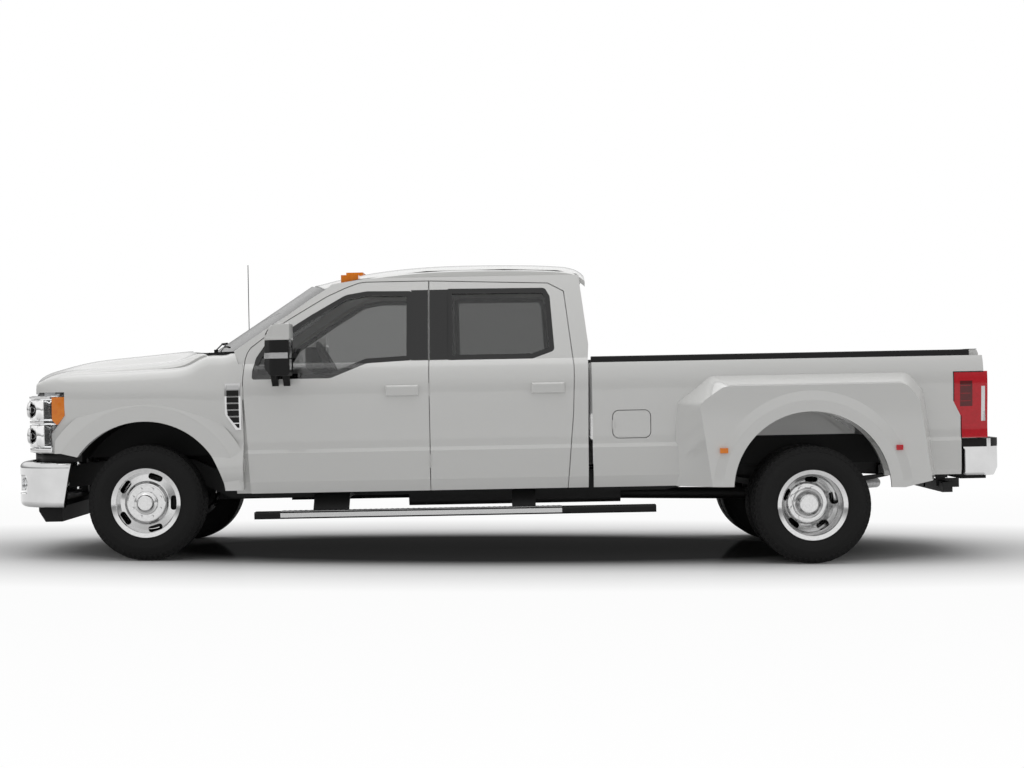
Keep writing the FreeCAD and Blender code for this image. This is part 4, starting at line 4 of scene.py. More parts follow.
import bmesh
import bpy
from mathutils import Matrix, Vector


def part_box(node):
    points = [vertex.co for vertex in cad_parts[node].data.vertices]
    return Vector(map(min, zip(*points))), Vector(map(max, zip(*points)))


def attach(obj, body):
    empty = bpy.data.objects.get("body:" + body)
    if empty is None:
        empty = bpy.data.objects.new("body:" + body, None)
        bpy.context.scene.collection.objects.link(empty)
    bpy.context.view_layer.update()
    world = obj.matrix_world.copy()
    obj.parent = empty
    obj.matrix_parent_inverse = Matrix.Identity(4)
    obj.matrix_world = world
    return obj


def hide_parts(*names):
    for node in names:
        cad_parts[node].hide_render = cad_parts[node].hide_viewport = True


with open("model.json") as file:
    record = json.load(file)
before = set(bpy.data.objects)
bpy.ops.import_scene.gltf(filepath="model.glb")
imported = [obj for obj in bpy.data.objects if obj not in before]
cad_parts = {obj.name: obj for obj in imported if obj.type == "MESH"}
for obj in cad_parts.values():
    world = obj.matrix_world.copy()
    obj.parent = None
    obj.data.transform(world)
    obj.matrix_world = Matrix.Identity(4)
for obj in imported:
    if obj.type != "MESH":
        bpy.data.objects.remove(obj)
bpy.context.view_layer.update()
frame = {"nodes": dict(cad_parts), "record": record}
SIDES = ("left", "right")
OUTWARD = {"left": -1, "right": 1}

# Driving sizes in millimetres, read from the frame where it holds them
MM = 0.001
RAKE = math.radians(1.1)
wheel_low, wheel_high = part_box("front_tyre_left")
AXLE_X = (wheel_low.x + wheel_high.x) / 2 / MM
TYRE_R = wheel_high.z / 2 / MM
rear_low, rear_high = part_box("rear_tyres_left")
REAR_AXLE_X = (rear_low.x + rear_high.x) / 2 / MM
FRONT_WHEEL_HALF = 867.5
REAR_WHEEL_HALVES = (794.0, 1086.0)
A_LINE_X = AXLE_X + 682.5
B_LINE_X = AXLE_X + 1935.5
C_LINE_X = AXLE_X + 2913.5
CAB_REAR_X = AXLE_X + 3012.0
BOX_FRONT_X = AXLE_X + 3034.5
BOX_REAR_X = AXLE_X + 5672.0
BELT_Z = 1318.0
BELT_HALF = 940.0
DRIP_Z = 1895.0
DRIP_HALF = 715.0
GLASS_BULGE = 10.0


def at(x, y, z):
    """A point in the raked body's millimetres, as a place in the scene."""
    dx = x - AXLE_X
    return Vector((AXLE_X + dx * math.cos(RAKE) - z * math.sin(RAKE), y,
                   dx * math.sin(RAKE) + z * math.cos(RAKE))) * MM


def level(x, y, z):
    """A point in level millimetres, for the wheels and axles."""
    return Vector((x, y, z)) * MM


def side_half(z):
    """How far out the body side lies at a height in the glass area."""
    share = (z - BELT_Z) / (DRIP_Z - BELT_Z)
    return BELT_HALF + (DRIP_HALF - BELT_HALF) * share + 4 * GLASS_BULGE * share * (1 - share)


def put(name, data):
    shown = bpy.data.objects.new(name, data)
    bpy.context.scene.collection.objects.link(shown)
    return shown


# Camera
CAMERA_PLACE = (0.0505, -13.21, 1.196)
CAMERA_LENS = 63.7
CAMERA_REACH = 200.0
SENSOR = 36.0
camera_data = bpy.data.cameras.new("camera")
camera_data.lens = CAMERA_LENS
camera_data.sensor_width = SENSOR
camera_data.clip_end = CAMERA_REACH
camera = put("camera", camera_data)
camera.location = CAMERA_PLACE
camera.rotation_euler = (math.pi / 2, 0.0, 0.0)
bpy.context.scene.camera = camera
bpy.context.scene.view_settings.view_transform = "Standard"

# Materials
NOISE_DETAIL = 3.0
NOISE_STOPS = (0.35, 0.65)
COAT_ROUGHNESS = 0.04
GLASS_IOR = 1.45
CLOTH_ROUGHNESS = 0.9
THREAD_LIFT = 0.3
THREAD_DEPTH = 0.0005


def set_inputs(node, values):
    for name, value in values.items():
        node.inputs[name].default_value = value


def tone(value):
    """A colour as it is, or a single number as a grey."""
    return (*value, 1) if isinstance(value, tuple) else (value, value, value, 1)


def math_node(nodes, links, operation, first, second):
    """The result of a maths node on two outputs, or on an output and a number."""
    node = nodes.new("ShaderNodeMath")
    node.operation = operation
    for socket, value in zip(node.inputs, (first, second)):
        if isinstance(value, float):
            socket.default_value = value
        else:
            links.new(value, socket)
    return node.outputs["Value"]


def new_material(name):
    material = bpy.data.materials.new(name)
    material.use_nodes = True
    tree = material.node_tree
    return material, tree.nodes, tree.links, tree.nodes["Principled BSDF"]


def two_tones(nodes, links, shader, share, dark, light):
    """The surface's colour goes from one tone to the other with the share."""
    ramp = nodes.new("ShaderNodeValToRGB")
    ramp.color_ramp.elements[0].color = tone(dark)
    ramp.color_ramp.elements[1].color = tone(light)
    links.new(share, ramp.inputs["Fac"])
    links.new(ramp.outputs["Color"], shader.inputs["Base Color"])
    return ramp


def lift(nodes, links, shader, height, strength, distance):
    """The surface is raised slightly by the height."""
    bump = nodes.new("ShaderNodeBump")
    set_inputs(bump, {"Strength": strength, "Distance": distance})
    links.new(height, bump.inputs["Height"])
    links.new(bump.outputs["Normal"], shader.inputs["Normal"])


def fine_noise(nodes, links, scale):
    place = nodes.new("ShaderNodeTexCoord")
    noise = nodes.new("ShaderNodeTexNoise")
    set_inputs(noise, {"Scale": scale, "Detail": NOISE_DETAIL})
    links.new(place.outputs["Object"], noise.inputs["Vector"])
    return noise.outputs["Fac"]


def plain(name, dark, light, roughness, metallic=0.0, coat=0.0, scale=60.0, strength=0.05, distance=0.001,
          specular=0.5):
    """Paint, plastic, rubber or metal that wanders between two near tones."""
    material, nodes, links, shader = new_material(name)
    set_inputs(shader, {"Specular IOR Level": specular, "Roughness": roughness, "Metallic": metallic,
                        "Coat Weight": coat, "Coat Roughness": COAT_ROUGHNESS})
    noise = fine_noise(nodes, links, scale)
    lift(nodes, links, shader, noise, strength, distance)
    ramp = two_tones(nodes, links, shader, noise, dark, light)
    for element, stop in zip(ramp.color_ramp.elements, NOISE_STOPS):
        element.position = stop
    return material


def clear(name, colour, roughness=0.02, scale=3.0, strength=0.01, distance=0.001):
    """Glass or a clear lens of one tint."""
    material, nodes, links, shader = new_material(name)
    set_inputs(shader, {"Base Color": tone(colour), "Roughness": roughness, "Transmission Weight": 1.0,
                        "IOR": GLASS_IOR})
    lift(nodes, links, shader, fine_noise(nodes, links, scale), strength, distance)
    return material


def weave(name, dark, light, threads):
    """Cloth with two crossing sets of threads."""
    material, nodes, links, shader = new_material(name)
    place = nodes.new("ShaderNodeTexCoord")
    sets = []
    for direction in "XY":
        wave = nodes.new("ShaderNodeTexWave")
        wave.bands_direction = direction
        set_inputs(wave, {"Scale": threads})
        links.new(place.outputs["Object"], wave.inputs["Vector"])
        sets.append(wave.outputs["Fac"])
    crossing = math_node(nodes, links, "MULTIPLY", *sets)
    lift(nodes, links, shader, crossing, THREAD_LIFT, THREAD_DEPTH)
    two_tones(nodes, links, shader, crossing, dark, light)
    set_inputs(shader, {"Roughness": CLOTH_ROUGHNESS})
    return material


LENS = {"coat": 0.6, "scale": 40.0, "specular": 0.2}

# Each look: its darker and lighter tone and its roughness, then what differs from the plain values
white = plain("white_paint", (0.70, 0.70, 0.685), (0.72, 0.72, 0.705), 0.30, coat=1.0, scale=900.0,
              strength=0.01, distance=0.0002)
casting = plain("casting", 0.035, 0.06, 0.6, metallic=0.7, scale=90.0, strength=0.2)
cabin_grey = plain("cabin_plastic", (0.045, 0.045, 0.048), (0.055, 0.055, 0.058), 0.55, scale=1500.0,
                   strength=0.25, distance=0.0004)
black = plain("black_plastic", 0.008, 0.012, 0.5, scale=1200.0, strength=0.15, distance=0.0003, specular=0.2)
gloss_black = plain("gloss_black", 0.006, 0.008, 0.12, coat=0.6, scale=300.0, strength=0.01, specular=0.2)
satin = plain("satin_black", 0.02, 0.026, 0.35, scale=700.0, strength=0.1, distance=0.0003)
chrome = plain("chrome", 0.62, 0.68, 0.06, metallic=1.0, scale=5.0, strength=0.01)
satin_metal = plain("satin_metal", 0.55, 0.62, 0.22, metallic=1.0, scale=200.0, strength=0.03)
rubber = plain("tyre_rubber", 0.011, 0.015, 0.75, scale=260.0, strength=0.15, distance=0.0004, specular=0.2)
front_tint = clear("front_glass_tint", (0.64, 0.645, 0.64))
rear_tint = clear("rear_glass_tint", (0.48, 0.485, 0.48))
screen_tint = clear("screen_tint", (0.22, 0.225, 0.22))
red_body = plain("red_body", (0.55, 0.002, 0.012), (0.62, 0.003, 0.016), 0.2, **LENS)
deep_red = plain("deep_red", (0.10, 0.001, 0.003), (0.13, 0.002, 0.004), 0.15, **LENS)
reflector = plain("reflector", 0.85, 0.9, 0.1, metallic=1.0, scale=20.0)
mirror_face = plain("mirror_face", 0.85, 0.88, 0.02, metallic=1.0, scale=2.0, strength=0.002)
screen_face = plain("screen_face", (0.01, 0.014, 0.02), (0.012, 0.018, 0.026), 0.08, coat=1.0, scale=30.0,
                    strength=0.002)
seat_cloth = weave("seat_fabric", 0.05, 0.11, 220.0)

SLOT_LOOKS = {
    "body_paint": white, "bed_paint": white, "cast_metal": casting, "cabin_plastic": cabin_grey,
    "seat_fabric": seat_cloth, "black_plastic": black, "chrome": chrome, "red_lens": red_body,
    "tinted_glass": rear_tint, "tyre": rubber,
    "frame_black": plain("frame_paint", 0.012, 0.02, 0.55, scale=120.0),
    "exhaust_steel": plain("exhaust_steel", 0.30, 0.42, 0.42, metallic=0.9, scale=30.0),
    "tank_plastic": plain("tank_plastic", 0.015, 0.022, 0.6, scale=200.0),
    "carpet": plain("carpet", 0.035, 0.07, 0.95, scale=900.0, strength=0.8, distance=0.002),
    "wheel_metal": plain("wheel_metal", 0.66, 0.72, 0.12, metallic=1.0, scale=80.0, strength=0.02),
    "lamp_glass": clear("lamp_clear", (0.93, 0.94, 0.95)),
    "amber_lens": plain("amber_body", (0.84, 0.20, 0.004), (0.90, 0.26, 0.008), 0.25, **LENS),
}
for row in frame["record"]["subparts"]:
    shown = frame["nodes"][row["node"]].data.materials
    shown.clear()
    shown.append(SLOT_LOOKS[row["material_slot"]])


def dress(node, material):
    frame["nodes"][node].data.materials[0] = material


dress("cab_glass", screen_tint)
for side in SIDES:
    dress("front_glass_" + side, front_tint)
    dress("rear_glass_" + side, rear_tint)


# Shapes are gathered as points and faces in millimetres, then put in place as one mesh
BOX_FACES = [(0, 1, 3, 2), (4, 6, 7, 5), (0, 4, 5, 1), (2, 3, 7, 6), (0, 2, 6, 4), (1, 5, 7, 3)]
NEARLY_UPRIGHT = 0.9
ROUNDED_ABOVE = math.radians(35)
SHARPEST_CORNER = 0.35


def beside(centre, axis, a, b, along):
    """A point so far along an axis from a centre, and a and b in the other two directions."""
    offset = {"x": (along, a, b), "y": (a, along, b), "z": (a, b, along)}[axis]
    return tuple(place + step for place, step in zip(centre, offset))


class Form:
    def __init__(self):
        self.points = []
        self.faces = []
        self.smooth = []

    def add(self, points, faces, smooth=False):
        start = len(self.points)
        self.points += [tuple(point) for point in points]
        self.faces += [[start + index for index in face] for face in faces]
        self.smooth += [smooth] * len(faces)
        return self

    def end_faces(self, first, last, count):
        """Flat faces over the two rings of points that start at first and at last."""
        self.faces.append([first + i for i in reversed(range(count))])
        self.faces.append([last + i for i in range(count)])
        self.smooth += [False, False]

    def box(self, x_low, x_high, y_low, y_high, z_low, z_high):
        corners = [(x, y, z) for x in (x_low, x_high) for y in (y_low, y_high) for z in (z_low, z_high)]
        return self.add(corners, BOX_FACES)

    def prism(self, outline, low, high, place):
        """An outline of (u, v) points pushed from low to high along the third direction, w."""
        count = len(outline)
        points = [place(u, v, low) for u, v in outline] + [place(u, v, high) for u, v in outline]
        sides = [(i, (i + 1) % count, count + (i + 1) % count, count + i) for i in range(count)]
        start = len(self.points)
        self.add(points, sides)
        self.end_faces(start, start + count, count)
        return self

    def plan(self, outline, z_low, z_high):
        return self.prism(outline, z_low, z_high, lambda u, v, w: (u, v, w))

    def loft(self, rings, closed=False, smooth=True):
        """Rings of the same number of points, joined one to the next."""
        count = len(rings[0])
        points = [point for ring in rings for point in ring]
        faces = []
        spans = len(rings) if closed else len(rings) - 1
        for r in range(spans):
            after = (r + 1) % len(rings)
            for i in range(count):
                j = (i + 1) % count
                faces.append((r * count + i, r * count + j, after * count + j, after * count + i))
        start = len(self.points)
        self.add(points, faces, smooth)
        if not closed:
            last = (len(rings) - 1) * count
            self.end_faces(start, start + last, count)
        return self

    def tube(self, path, radius, sides=10):
        """A round bar along a path of points."""
        points = [Vector(point) for point in path]
        rings = []
        for index, point in enumerate(points):
            along = (points[min(index + 1, len(points) - 1)] - points[max(index - 1, 0)]).normalized()
            helper = Vector((0, 0, 1)) if abs(along.z) < NEARLY_UPRIGHT else Vector((1, 0, 0))
            first = along.cross(helper).normalized()
            second = along.cross(first).normalized()
            ring = []
            for k in range(sides):
                angle = 2 * math.pi * k / sides
                ring.append(point + radius * (math.cos(angle) * first + math.sin(angle) * second))
            rings.append(ring)
        return self.loft(rings)

    def turn(self, profile, centre, axis="y", steps=48, smooth=True):
        """A closed profile of (radius, along) points turned about an axis through the centre."""
        rings = []
        for k in range(steps):
            angle = 2 * math.pi * k / steps
            ring = []
            for radius, along in profile:
                ring.append(beside(centre, axis, radius * math.cos(angle), radius * math.sin(angle), along))
            rings.append(ring)
        return self.loft(rings, closed=True, smooth=smooth)

    def disc(self, centre, radius, low, high, axis="y", steps=24):
        """A round plate about an axis, from low to high beside its centre."""
        angles = [2 * math.pi * k / steps for k in range(steps)]
        circle = [(radius * math.cos(angle), radius * math.sin(angle)) for angle in angles]
        return self.prism(circle, low, high, lambda a, b, along: beside(centre, axis, a, b, along))

    def mirrored(self):
        """The shape with its mirror image on the other side of the middle plane."""
        start = len(self.points)
        for point in list(self.points):
            self.points.append((point[0], -point[1], point[2]))
        for face, smooth in list(zip(self.faces, self.smooth)):
            self.faces.append([start + index for index in reversed(face)])
            self.smooth.append(smooth)
        return self

    def flipped(self):
        """The same shape on the other side of the middle plane."""
        self.points = [(x, -y, z) for x, y, z in self.points]
        self.faces = [list(reversed(face)) for face in self.faces]
        return self


def piece(name, form, material, slot="black_plastic", body="root", place=at, bevel=0.0, segments=2):
    """Puts the form in the scene as one mesh of the material that rides on a body; the slot is not used."""
    mesh = bpy.data.meshes.new(name)
    mesh.from_pydata([place(*point) for point in form.points], [], form.faces)
    mesh.polygons.foreach_set("use_smooth", form.smooth)
    work = bmesh.new()
    work.from_mesh(mesh)
    bmesh.ops.recalc_face_normals(work, faces=work.faces)
    work.to_mesh(mesh)
    work.free()
    mesh.materials.append(material)
    shown = put(name, mesh)
    if bevel > 0:
        rounding = shown.modifiers.new("rounding", "BEVEL")
        rounding.width = bevel * MM
        rounding.segments = segments
        rounding.limit_method = "ANGLE"
        rounding.angle_limit = ROUNDED_ABOVE
        rounding.harden_normals = True
        mesh.polygons.foreach_set("use_smooth", [True] * len(mesh.polygons))
    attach(shown, body)
    return shown


def inset(points, distance):
    """A closed outline moved inwards by the distance, corner by corner."""
    area = 0.0
    for (x, z), (u, w) in zip(points, points[1:] + points[:1]):
        area += x * w - u * z
    sign = 1.0 if area > 0 else -1.0
    moved = []
    count = len(points)
    for i in range(count):
        before, here, after = (Vector(points[k % count]) for k in (i - 1, i, i + 1))
        first = (here - before).normalized()
        second = (after - here).normalized()
        n1 = Vector((-first.y, first.x)) * sign
        n2 = Vector((-second.y, second.x)) * sign
        joint = n1 + n2
        joint = joint / max(joint.length_squared / 2, SHARPEST_CORNER)
        moved.append(tuple(here + joint * distance))
    return moved


def on_side(side, name, form, *more, **settings):
    """The piece on the right side as drawn, or flipped to the left one."""
    if side == "left":
        form.flipped()
    piece(name + "_" + side, form, *more, **settings)


def blocks(spans, start_x=0.0):
    """Boxes from spans of x, y and z, with x counted from a line."""
    form = Form()
    for x_low, x_high, *rest in spans:
        form.box(start_x + x_low, start_x + x_high, *rest)
    return form


# Outlines of the side windows, in the same shares as the solids
FRONT_WINDOW = [(0.047, -0.195), (0.048, -0.09), (0.064, 0.070), (0.116, 0.247), (0.360, 0.600),
                (0.545, 0.845), (0.660, 0.888), (0.905, 0.880), (0.905, 0.008), (0.665, -0.020),
                (0.560, -0.115), (0.470, -0.196)]
REAR_WINDOW = [(0.129, 0.900), (0.815, 0.890), (0.848, 0.780), (0.872, 0.095), (0.720, 0.0), (0.129, 0.0)]
DOOR_TOP_Z = 1866.0
FRONT_TRIM_WIDTH = 34.0
REAR_TRIM_WIDTH = 36.0
TRIM_OVERLAP = 1.0
TRIM_SETBACK = 1.5
TRIM_DEPTH = 8.0


def window(shares, start, length):
    return [(start + length * u, BELT_Z + (DOOR_TOP_Z - BELT_Z) * v) for u, v in shares]


def ring_band(outline, width):
    """A flat band inside an outline that follows the side's lean."""
    rings = []
    for (x, z), (u, w) in zip(outline, inset(outline, width)):
        outer = side_half(z) - TRIM_SETBACK
        inner = side_half(w) - TRIM_SETBACK
        rings.append([(x, outer, z), (u, inner, w), (u, inner - TRIM_DEPTH, w), (x, outer - TRIM_DEPTH, z)])
    return Form().loft(rings, closed=True, smooth=False)


front_window = window(FRONT_WINDOW, A_LINE_X, B_LINE_X - A_LINE_X)
rear_window = window(REAR_WINDOW, B_LINE_X, C_LINE_X - B_LINE_X)
for side in SIDES:
    for name, outline, width in (("front", front_window, FRONT_TRIM_WIDTH),
                                 ("rear", rear_window, REAR_TRIM_WIDTH)):
        form = ring_band(inset(outline, -TRIM_OVERLAP), width)
        on_side(side, name + "_window_frame", form, gloss_black, body=f"{name}_door_{side}")

# Tyres: ribs of tread blocks as edges, phase and lean, then the side wall as radii and half-widths
TREAD_DEPTH = 10.0
TREAD_STEPS = 60
TREAD_FILL = 0.80
TREAD_RIBS = [(-98.0, -64.0, 0.0, 0.16), (-58.0, -24.0, 0.5, -0.22), (-18.0, 18.0, 0.0, 0.20),
              (24.0, 58.0, 0.5, -0.22), (64.0, 98.0, 0.0, 0.16)]
TREAD_FLOOR_HALF = 88.0
TREAD_CROWN = 1.0
BLOCK_ROOT = 3.0
BLOCK_TOP_DROP = 0.6
SHOULDER_HALF = 90.0
SHOULDER_DROP = 3.5
LUG_PHASE = 0.5
LUG_FILL = 0.5
LUG_FEET = [(352.0, 112.0), (358.0, 116.5)]
LUG_TOPS = [(-2.0, 96.0), (3.0, 101.0)]
TYRE_STEPS = 120
CARCASS_R = 382.0
BEAD_END_R = 300.0
SIDEWALL = [(216.0, 86.0), (222.0, 97.0), (236.0, 103.0), (246.0, 104.0), (250.0, 108.0), (275.0, 117.0),
            (300.0, 121.0), (306.0, 122.5), (312.0, 121.5), (335.0, 119.0), (352.0, 114.0), (366.0, 107.0),
            (377.0, 99.0)]


def tread_block(form, x, z, rows, begin, end):
    """A block from four rows of radius, place across and turn, between two angles."""
    corners = []
    for r, across, turn in rows:
        for angle in (begin + turn, end + turn):
            corners.append((x + r * math.cos(angle), across, z + r * math.sin(angle)))
    form.add(corners, BOX_FACES)


def tyre(form, x, z, middle, radius):
    """A round tyre whose carcass ends a tread depth under its blocks."""
    floor_r = radius - TREAD_DEPTH
    wall = [(r * floor_r / CARCASS_R if r > BEAD_END_R else r, half) for r, half in SIDEWALL]
    profile = [(r, middle + half) for r, half in wall]
    profile += [(floor_r, middle + TREAD_FLOOR_HALF), (floor_r + TREAD_CROWN, middle),
                (floor_r, middle - TREAD_FLOOR_HALF)]
    profile += [(r, middle - half) for r, half in wall[::-1]]
    form.turn(profile, (x, 0.0, z), steps=TYRE_STEPS)
    step = 2 * math.pi / TREAD_STEPS
    for low, high, phase, lean in TREAD_RIBS:
        for k in range(TREAD_STEPS):
            rows = []
            for r in (floor_r - BLOCK_ROOT, radius - BLOCK_TOP_DROP):
                for across, turn in ((low, -lean * step), (high, lean * step)):
                    drop = 0.0 if abs(across) < SHOULDER_HALF else SHOULDER_DROP
                    rows.append((r - drop, middle + across, turn))
            begin = (k + phase) * step
            tread_block(form, x, z, rows, begin, begin + TREAD_FILL * step)
    for k in range(TREAD_STEPS):
        for out in (-1, 1):
            rows = []
            for (foot_r, foot_half), (top_r, top_half) in zip(LUG_FEET, LUG_TOPS):
                rows.append((foot_r, middle + out * foot_half, 0.0))
                rows.append((floor_r + top_r, middle + out * top_half, 0.0))
            begin = (k + LUG_PHASE) * step
            tread_block(form, x, z, rows, begin, begin + LUG_FILL * step)


for side in SIDES:
    for name, node, body, x, halves in (
            ("front_tyre_tread_", "front_tyre_", "front_wheel_", AXLE_X, (FRONT_WHEEL_HALF,)),
            ("rear_tyre_tread_", "rear_tyres_", "rear_wheels_", REAR_AXLE_X, REAR_WHEEL_HALVES)):
        form = Form()
        for half in halves:
            tyre(form, x, TYRE_R, OUTWARD[side] * half, TYRE_R)
        shown = piece(name + side, form, rubber, "tyre", body + side, level)
        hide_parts(node + side)

# Brake discs and drums seen through the wheels: inner and outer half, then bore, low and high radius
BRAKES = (("front_brake_disc_", "front_wheel_", AXLE_X, (838.0, 852.0), (70.0, 182.0, 182.0)),
          ("rear_brake_drum_", "rear_wheels_", REAR_AXLE_X, (734.0, 804.0), (60.0, 178.0, 184.0)))
for side in SIDES:
    for name, body, x, halves, (bore_r, low_r, high_r) in BRAKES:
        low, high = sorted(OUTWARD[side] * half for half in halves)
        profile = [(bore_r, low), (low_r, low), (high_r, high), (bore_r, high)]
        form = Form().turn(profile, (x, 0.0, TYRE_R), smooth=False)
        piece(name + side, form, casting, "cast_metal", body + side, level, bevel=1.0)

# The load box's fastenings, x from the box's front; plates are radius, low, high, axis and steps
BED_FLOOR_Z = 800.0
BOLT_ROWS = (320.0, 950.0, 1750.0, 2380.0)
BOLT_Y = 430.0
BOLT = (14.0, 0.0, 8.0, "z", 6)
WASHER = (22.0, 0.0, 3.0, "z", 20)
form = Form()
for row_x in BOLT_ROWS:
    for y in (-BOLT_Y, BOLT_Y):
        centre = (BOX_FRONT_X + row_x, y, BED_FLOOR_Z)
        form.disc(centre, *BOLT)
        form.disc(centre, *WASHER)
piece("bed_bolts", form, satin_metal, "cast_metal", bevel=0.8)

# Tie-down loops on the load box's walls
LOOP_XS = (BOX_FRONT_X + 160.0, BOX_REAR_X - 260.0)
LOOP_WALL_Y = 848.0
LOOP_Z = 1180.0
LOOP_HALF = 26.0
LOOP_REACH = 24.0
LOOP_STANDOFF = 4.0
LOOP_BAR_R = 4.5
LOOP_STEPS = 8
LOOP_PLATE = [(-40.0, 40.0, LOOP_WALL_Y - 6.0, LOOP_WALL_Y + 4.0, 1162.0, 1198.0)]
form = Form()
for x in LOOP_XS:
    path = []
    for k in range(LOOP_STEPS + 1):
        angle = math.pi * k / LOOP_STEPS
        reach = LOOP_STANDOFF + LOOP_REACH * math.sin(angle)
        path.append((x + LOOP_HALF * math.cos(angle), LOOP_WALL_Y - reach, LOOP_Z))
    form.tube(path, LOOP_BAR_R)
    plate = blocks(LOOP_PLATE, x)
    form.add(plate.points, plate.faces)
form.mirrored()
piece("tie_down_loops", form, satin, "frame_black", bevel=1.0)

# The body side's section below the glass, as heights and half-widths
SIDE_SECTION = [(442.0, 985.0), (518.0, 1008.0), (711.0, 1002.0), (736.0, 987.0), (800.0, 985.0),
                (850.0, 987.5), (900.0, 992.0), (950.0, 997.6), (1000.0, 1003.0), (1050.0, 1007.1),
                (1100.0, 1009.0), (1150.0, 1007.7), (1190.0, 1003.6), (1262.0, 984.0), (1318.0, 940.0)]


def section_half(section, z):
    """The half-width at a height, between the section's points."""
    for (z_low, half_low), (z_high, half_high) in zip(section, section[1:]):
        if z <= z_high:
            return half_low + (half_high - half_low) * (z - z_low) / (z_high - z_low)


def strip_ring(x_low, x_high, half, depth, z):
    return [(x_low, half, z), (x_high, half, z), (x_high, half - depth, z), (x_low, half - depth, z)]


def side_strip(form, x_low, x_high, z_low, z_high, proud, depth, steps=8):
    """An upright panel that follows the body side, proud of it by a little."""
    rings = []
    for k in range(steps + 1):
        z = z_low + (z_high - z_low) * k / steps
        half = (side_half(z) if z >= BELT_Z else section_half(SIDE_SECTION, z)) + proud
        rings.append(strip_ring(x_low, x_high, half, depth, z))
    return form.loft(rings, smooth=False)


# Black pillar panels between the side windows
PANEL_LOW_Z = 1322.0
PANEL_HIGH_Z = 1806.0
PANEL_LAP = 2.0
PANEL_GAP = 5.0
PANEL_PROUD = 1.2
PANEL_DEPTH = 3.0
PANEL_FRONT_X = max(x for x, z in front_window) - PANEL_LAP
PANEL_REAR_X = min(x for x, z in rear_window) + PANEL_LAP
for side in SIDES:
    for name, low, high in (("front", PANEL_FRONT_X, B_LINE_X - PANEL_GAP),
                            ("rear", B_LINE_X + PANEL_GAP, PANEL_REAR_X)):
        form = side_strip(Form(), low, high, PANEL_LOW_Z, PANEL_HIGH_Z, PANEL_PROUD, PANEL_DEPTH)
        on_side(side, name + "_pillar_panel", form, gloss_black, body=f"{name}_door_{side}")

# Door mirrors: outlines as shares of the housing with corner radii, then cap, lamp strip and glasses
MIRROR_X = AXLE_X + 855.0
MIRROR_LENGTH = 180.0
MIRROR_INNER = 1088.0
MIRROR_OUTER = 1296.0
MIRROR_LOW_Z = 1232.0
MIRROR_HIGH_Z = 1578.0
MIRROR_SIDE = [(0.0, 0.16, 22.0), (0.30, 0.0, 30.0), (0.94, 0.0, 10.0), (1.0, 0.06, 10.0), (0.97, 0.95, 14.0),
               (0.84, 1.0, 14.0), (0.36, 0.98, 40.0), (0.07, 0.80, 60.0)]
MIRROR_PLAN = [(0.34, 0.0, 20.0), (1.0, 0.0, 8.0), (1.0, 1.0, 10.0), (0.30, 1.0, 40.0), (0.0, 0.62, 60.0),
               (0.06, 0.16, 30.0)]
CAP_HEIGHTS = [1468.0, 1490.0, 1510.0, 1530.0, 1548.0, 1560.0, 1568.0, 1574.0]
CAP_PROUD = 1.5
CAP_TOP_Z = 1575.0
CAP_TOP_INSET = 6.0
CAP_RISE = 1.0
LAMP_STRIP_HEIGHTS = (1346.0, 1384.0)
LAMP_STRIP_POINTS = range(20, 34)
LAMP_STRIP_PROUD = 0.8
LAMP_STRIP_SUNK = 2.0
MIRROR_GLASSES = [(-8.5, -5.5, 1108.0, 1276.0, 1350.0, 1542.0), (-8.5, -5.5, 1108.0, 1276.0, 1268.0, 1342.0)]


def rounded(outline, steps=6):
    """A closed outline of (u, v, radius) corners with each corner drawn as an arc."""
    points = []
    count = len(outline)
    for i in range(count):
        u, v, radius = outline[i]
        corner = Vector((u, v))
        back = (Vector(outline[i - 1][:2]) - corner).normalized()
        ahead = (Vector(outline[(i + 1) % count][:2]) - corner).normalized()
        half = back.angle(ahead) / 2
        reach = radius / math.tan(half)
        centre = corner + (back + ahead).normalized() * (radius / math.sin(half))
        first = corner + back * reach - centre
        last = corner + ahead * reach - centre
        for k in range(steps + 1):
            arm = first.lerp(last, k / steps).normalized() * radius
            points.append(tuple(centre + arm))
    return points


def mirror_outline(shares, low, high):
    return rounded([(MIRROR_X + MIRROR_LENGTH * u, low + (high - low) * v, r) for u, v, r in shares])


mirror_side_line = mirror_outline(MIRROR_SIDE, MIRROR_LOW_Z, MIRROR_HIGH_Z)
mirror_plan_line = mirror_outline(MIRROR_PLAN, MIRROR_INNER, MIRROR_OUTER)


def mirror_front(z):
    """Where the mirror housing's front edge stands at a height."""
    line = mirror_side_line
    crossings = []
    for (x, v), (u, w) in zip(line, line[1:] + line[:1]):
        if min(v, w) <= z <= max(v, w) and v != w:
            crossings.append(x + (u - x) * (z - v) / (w - v))
    return min(crossings)


def mirror_ring(z, grow):
    """The housing's outline at a height, grown outwards."""
    front = mirror_front(z) - grow
    return [(max(x, front), y, z) for x, y in inset(mirror_plan_line, -grow)]


for side in SIDES:
    body = "front_door_" + side
    rings = [mirror_ring(z, CAP_PROUD) for z in CAP_HEIGHTS]
    rings.append([(x, y, MIRROR_HIGH_Z + CAP_RISE) for x, y, z in mirror_ring(CAP_TOP_Z, -CAP_TOP_INSET)])
    on_side(side, "mirror_cap", Form().loft(rings), white, "body_paint", body)
    rings = []
    for z in LAMP_STRIP_HEIGHTS:
        outer = mirror_ring(z, LAMP_STRIP_PROUD)
        inner = mirror_ring(z, -LAMP_STRIP_SUNK)
        rings.append([outer[k] for k in LAMP_STRIP_POINTS] + [inner[k] for k in reversed(LAMP_STRIP_POINTS)])
    on_side(side, "mirror_lamp", Form().loft(rings, smooth=False), satin_metal, "chrome", body, bevel=0.5)
    form = blocks(MIRROR_GLASSES, MIRROR_X + MIRROR_LENGTH)
    on_side(side, "mirror_glasses", form, mirror_face, "chrome", body, bevel=3.0)

